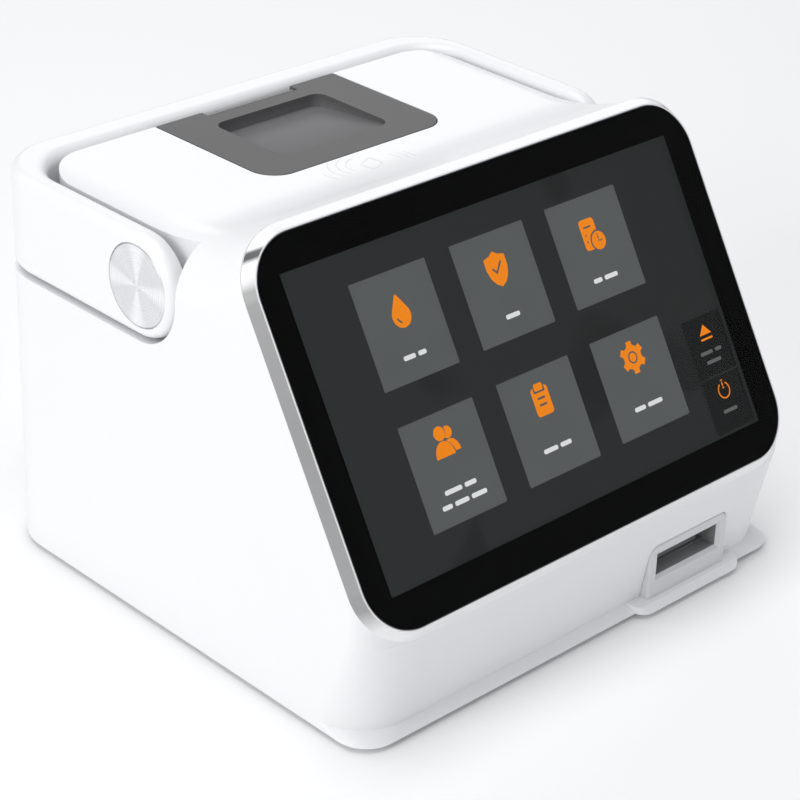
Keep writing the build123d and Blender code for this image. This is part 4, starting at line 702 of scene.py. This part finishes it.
def build_side_keys():
    right = ACTIVE[2]
    cx = (SIDE_LEFT + right) / 2
    keys = [rounded(SIDE_LEFT, low, right, high, SIDE_CORNER, 2) for low, high in SIDE_ROWS]
    drawn("side_keys", keys, SIDE_KEY, TILE_DEPTH)
    arrow = [(cx - 2.9, 46.4), (cx + 2.9, 46.4), (cx, 49.9)]
    drawn("eject_mark", [arrow, bar(cx, 44.9, 5.8, 0.7)], ORANGE, MARK_DEPTH)
    ring = arc(cx, 26.4, 2.9, 120, 420, 26) + arc(cx, 26.4, 2.45, 420, 120, 26)
    drawn("power_mark", [ring, bar(cx, 28.6, 0.5, 3.0)], ORANGE, MARK_DEPTH)
    label("label_eject_upper", cx, 40.4, (6.0, 3.2), LABEL_DIM, DIM_LABEL_HEIGHT)
    label("label_eject_lower", cx, 37.0, (7.2,), LABEL_DIM, DIM_LABEL_HEIGHT)
    label("label_power", cx, 19.4, (7.0,), LABEL_DIM, DIM_LABEL_HEIGHT)


# ---------------------------------------------------------------- floor, light and camera
def build_floor():
    mesh = bpy.data.meshes.new("floor")
    half = FLOOR_SIZE / 2
    corners = [(-half, -half, 0), (half, -half, 0), (half, half, 0), (-half, half, 0)]
    mesh.from_pydata(corners, [], [(0, 1, 2, 3)])
    floor = bpy.data.objects.new("floor", mesh)
    bpy.context.scene.collection.objects.link(floor)
    mesh.materials.append(floor_material())


def area_light(name, place, target, size, watts, colour):
    lamp = bpy.data.lights.new(name, "AREA")
    lamp.shape = "RECTANGLE"
    lamp.size, lamp.size_y = size
    lamp.energy = watts
    lamp.color = colour
    light = bpy.data.objects.new(name, lamp)
    bpy.context.scene.collection.objects.link(light)
    light.location = place
    light.rotation_euler = (Vector(target) - Vector(place)).to_track_quat("-Z", "Y").to_euler()


def build_light():
    world = bpy.data.worlds.new("studio")
    world.use_nodes = True
    background = world.node_tree.nodes["Background"]
    background.inputs["Color"].default_value = WORLD_COLOUR
    background.inputs["Strength"].default_value = WORLD_STRENGTH
    bpy.context.scene.world = world
    for light in LIGHTS:
        area_light(*light)


def build_camera():
    yaw_sin, yaw_cos = math.sin(CAMERA_YAW), math.cos(CAMERA_YAW)
    pitch_sin, pitch_cos = math.sin(CAMERA_PITCH), math.cos(CAMERA_PITCH)
    ahead = Vector((yaw_sin * pitch_cos, yaw_cos * pitch_cos, -pitch_sin))
    level = Vector((yaw_cos, -yaw_sin, 0.0))
    upright = level.cross(ahead)
    right = level * math.cos(CAMERA_ROLL) + upright * math.sin(CAMERA_ROLL)
    up = upright * math.cos(CAMERA_ROLL) - level * math.sin(CAMERA_ROLL)
    data = bpy.data.cameras.new("camera")
    data.sensor_fit = "HORIZONTAL"
    data.sensor_width = CAMERA_SENSOR
    data.lens = CAMERA_LENS
    data.clip_start, data.clip_end = CAMERA_CLIP
    camera = bpy.data.objects.new("camera", data)
    bpy.context.scene.collection.objects.link(camera)
    matrix = Matrix((right, up, -ahead)).transposed().to_4x4()
    matrix.translation = CAMERA_PLACE
    camera.matrix_world = matrix
    bpy.context.scene.camera = camera


dress_part()
build_touch_mark()
build_ink_mask()
build_tiles()
build_icons()
build_labels()
build_side_keys()
build_floor()
build_light()
build_camera()
bpy.context.scene.view_settings.view_transform = "Standard"
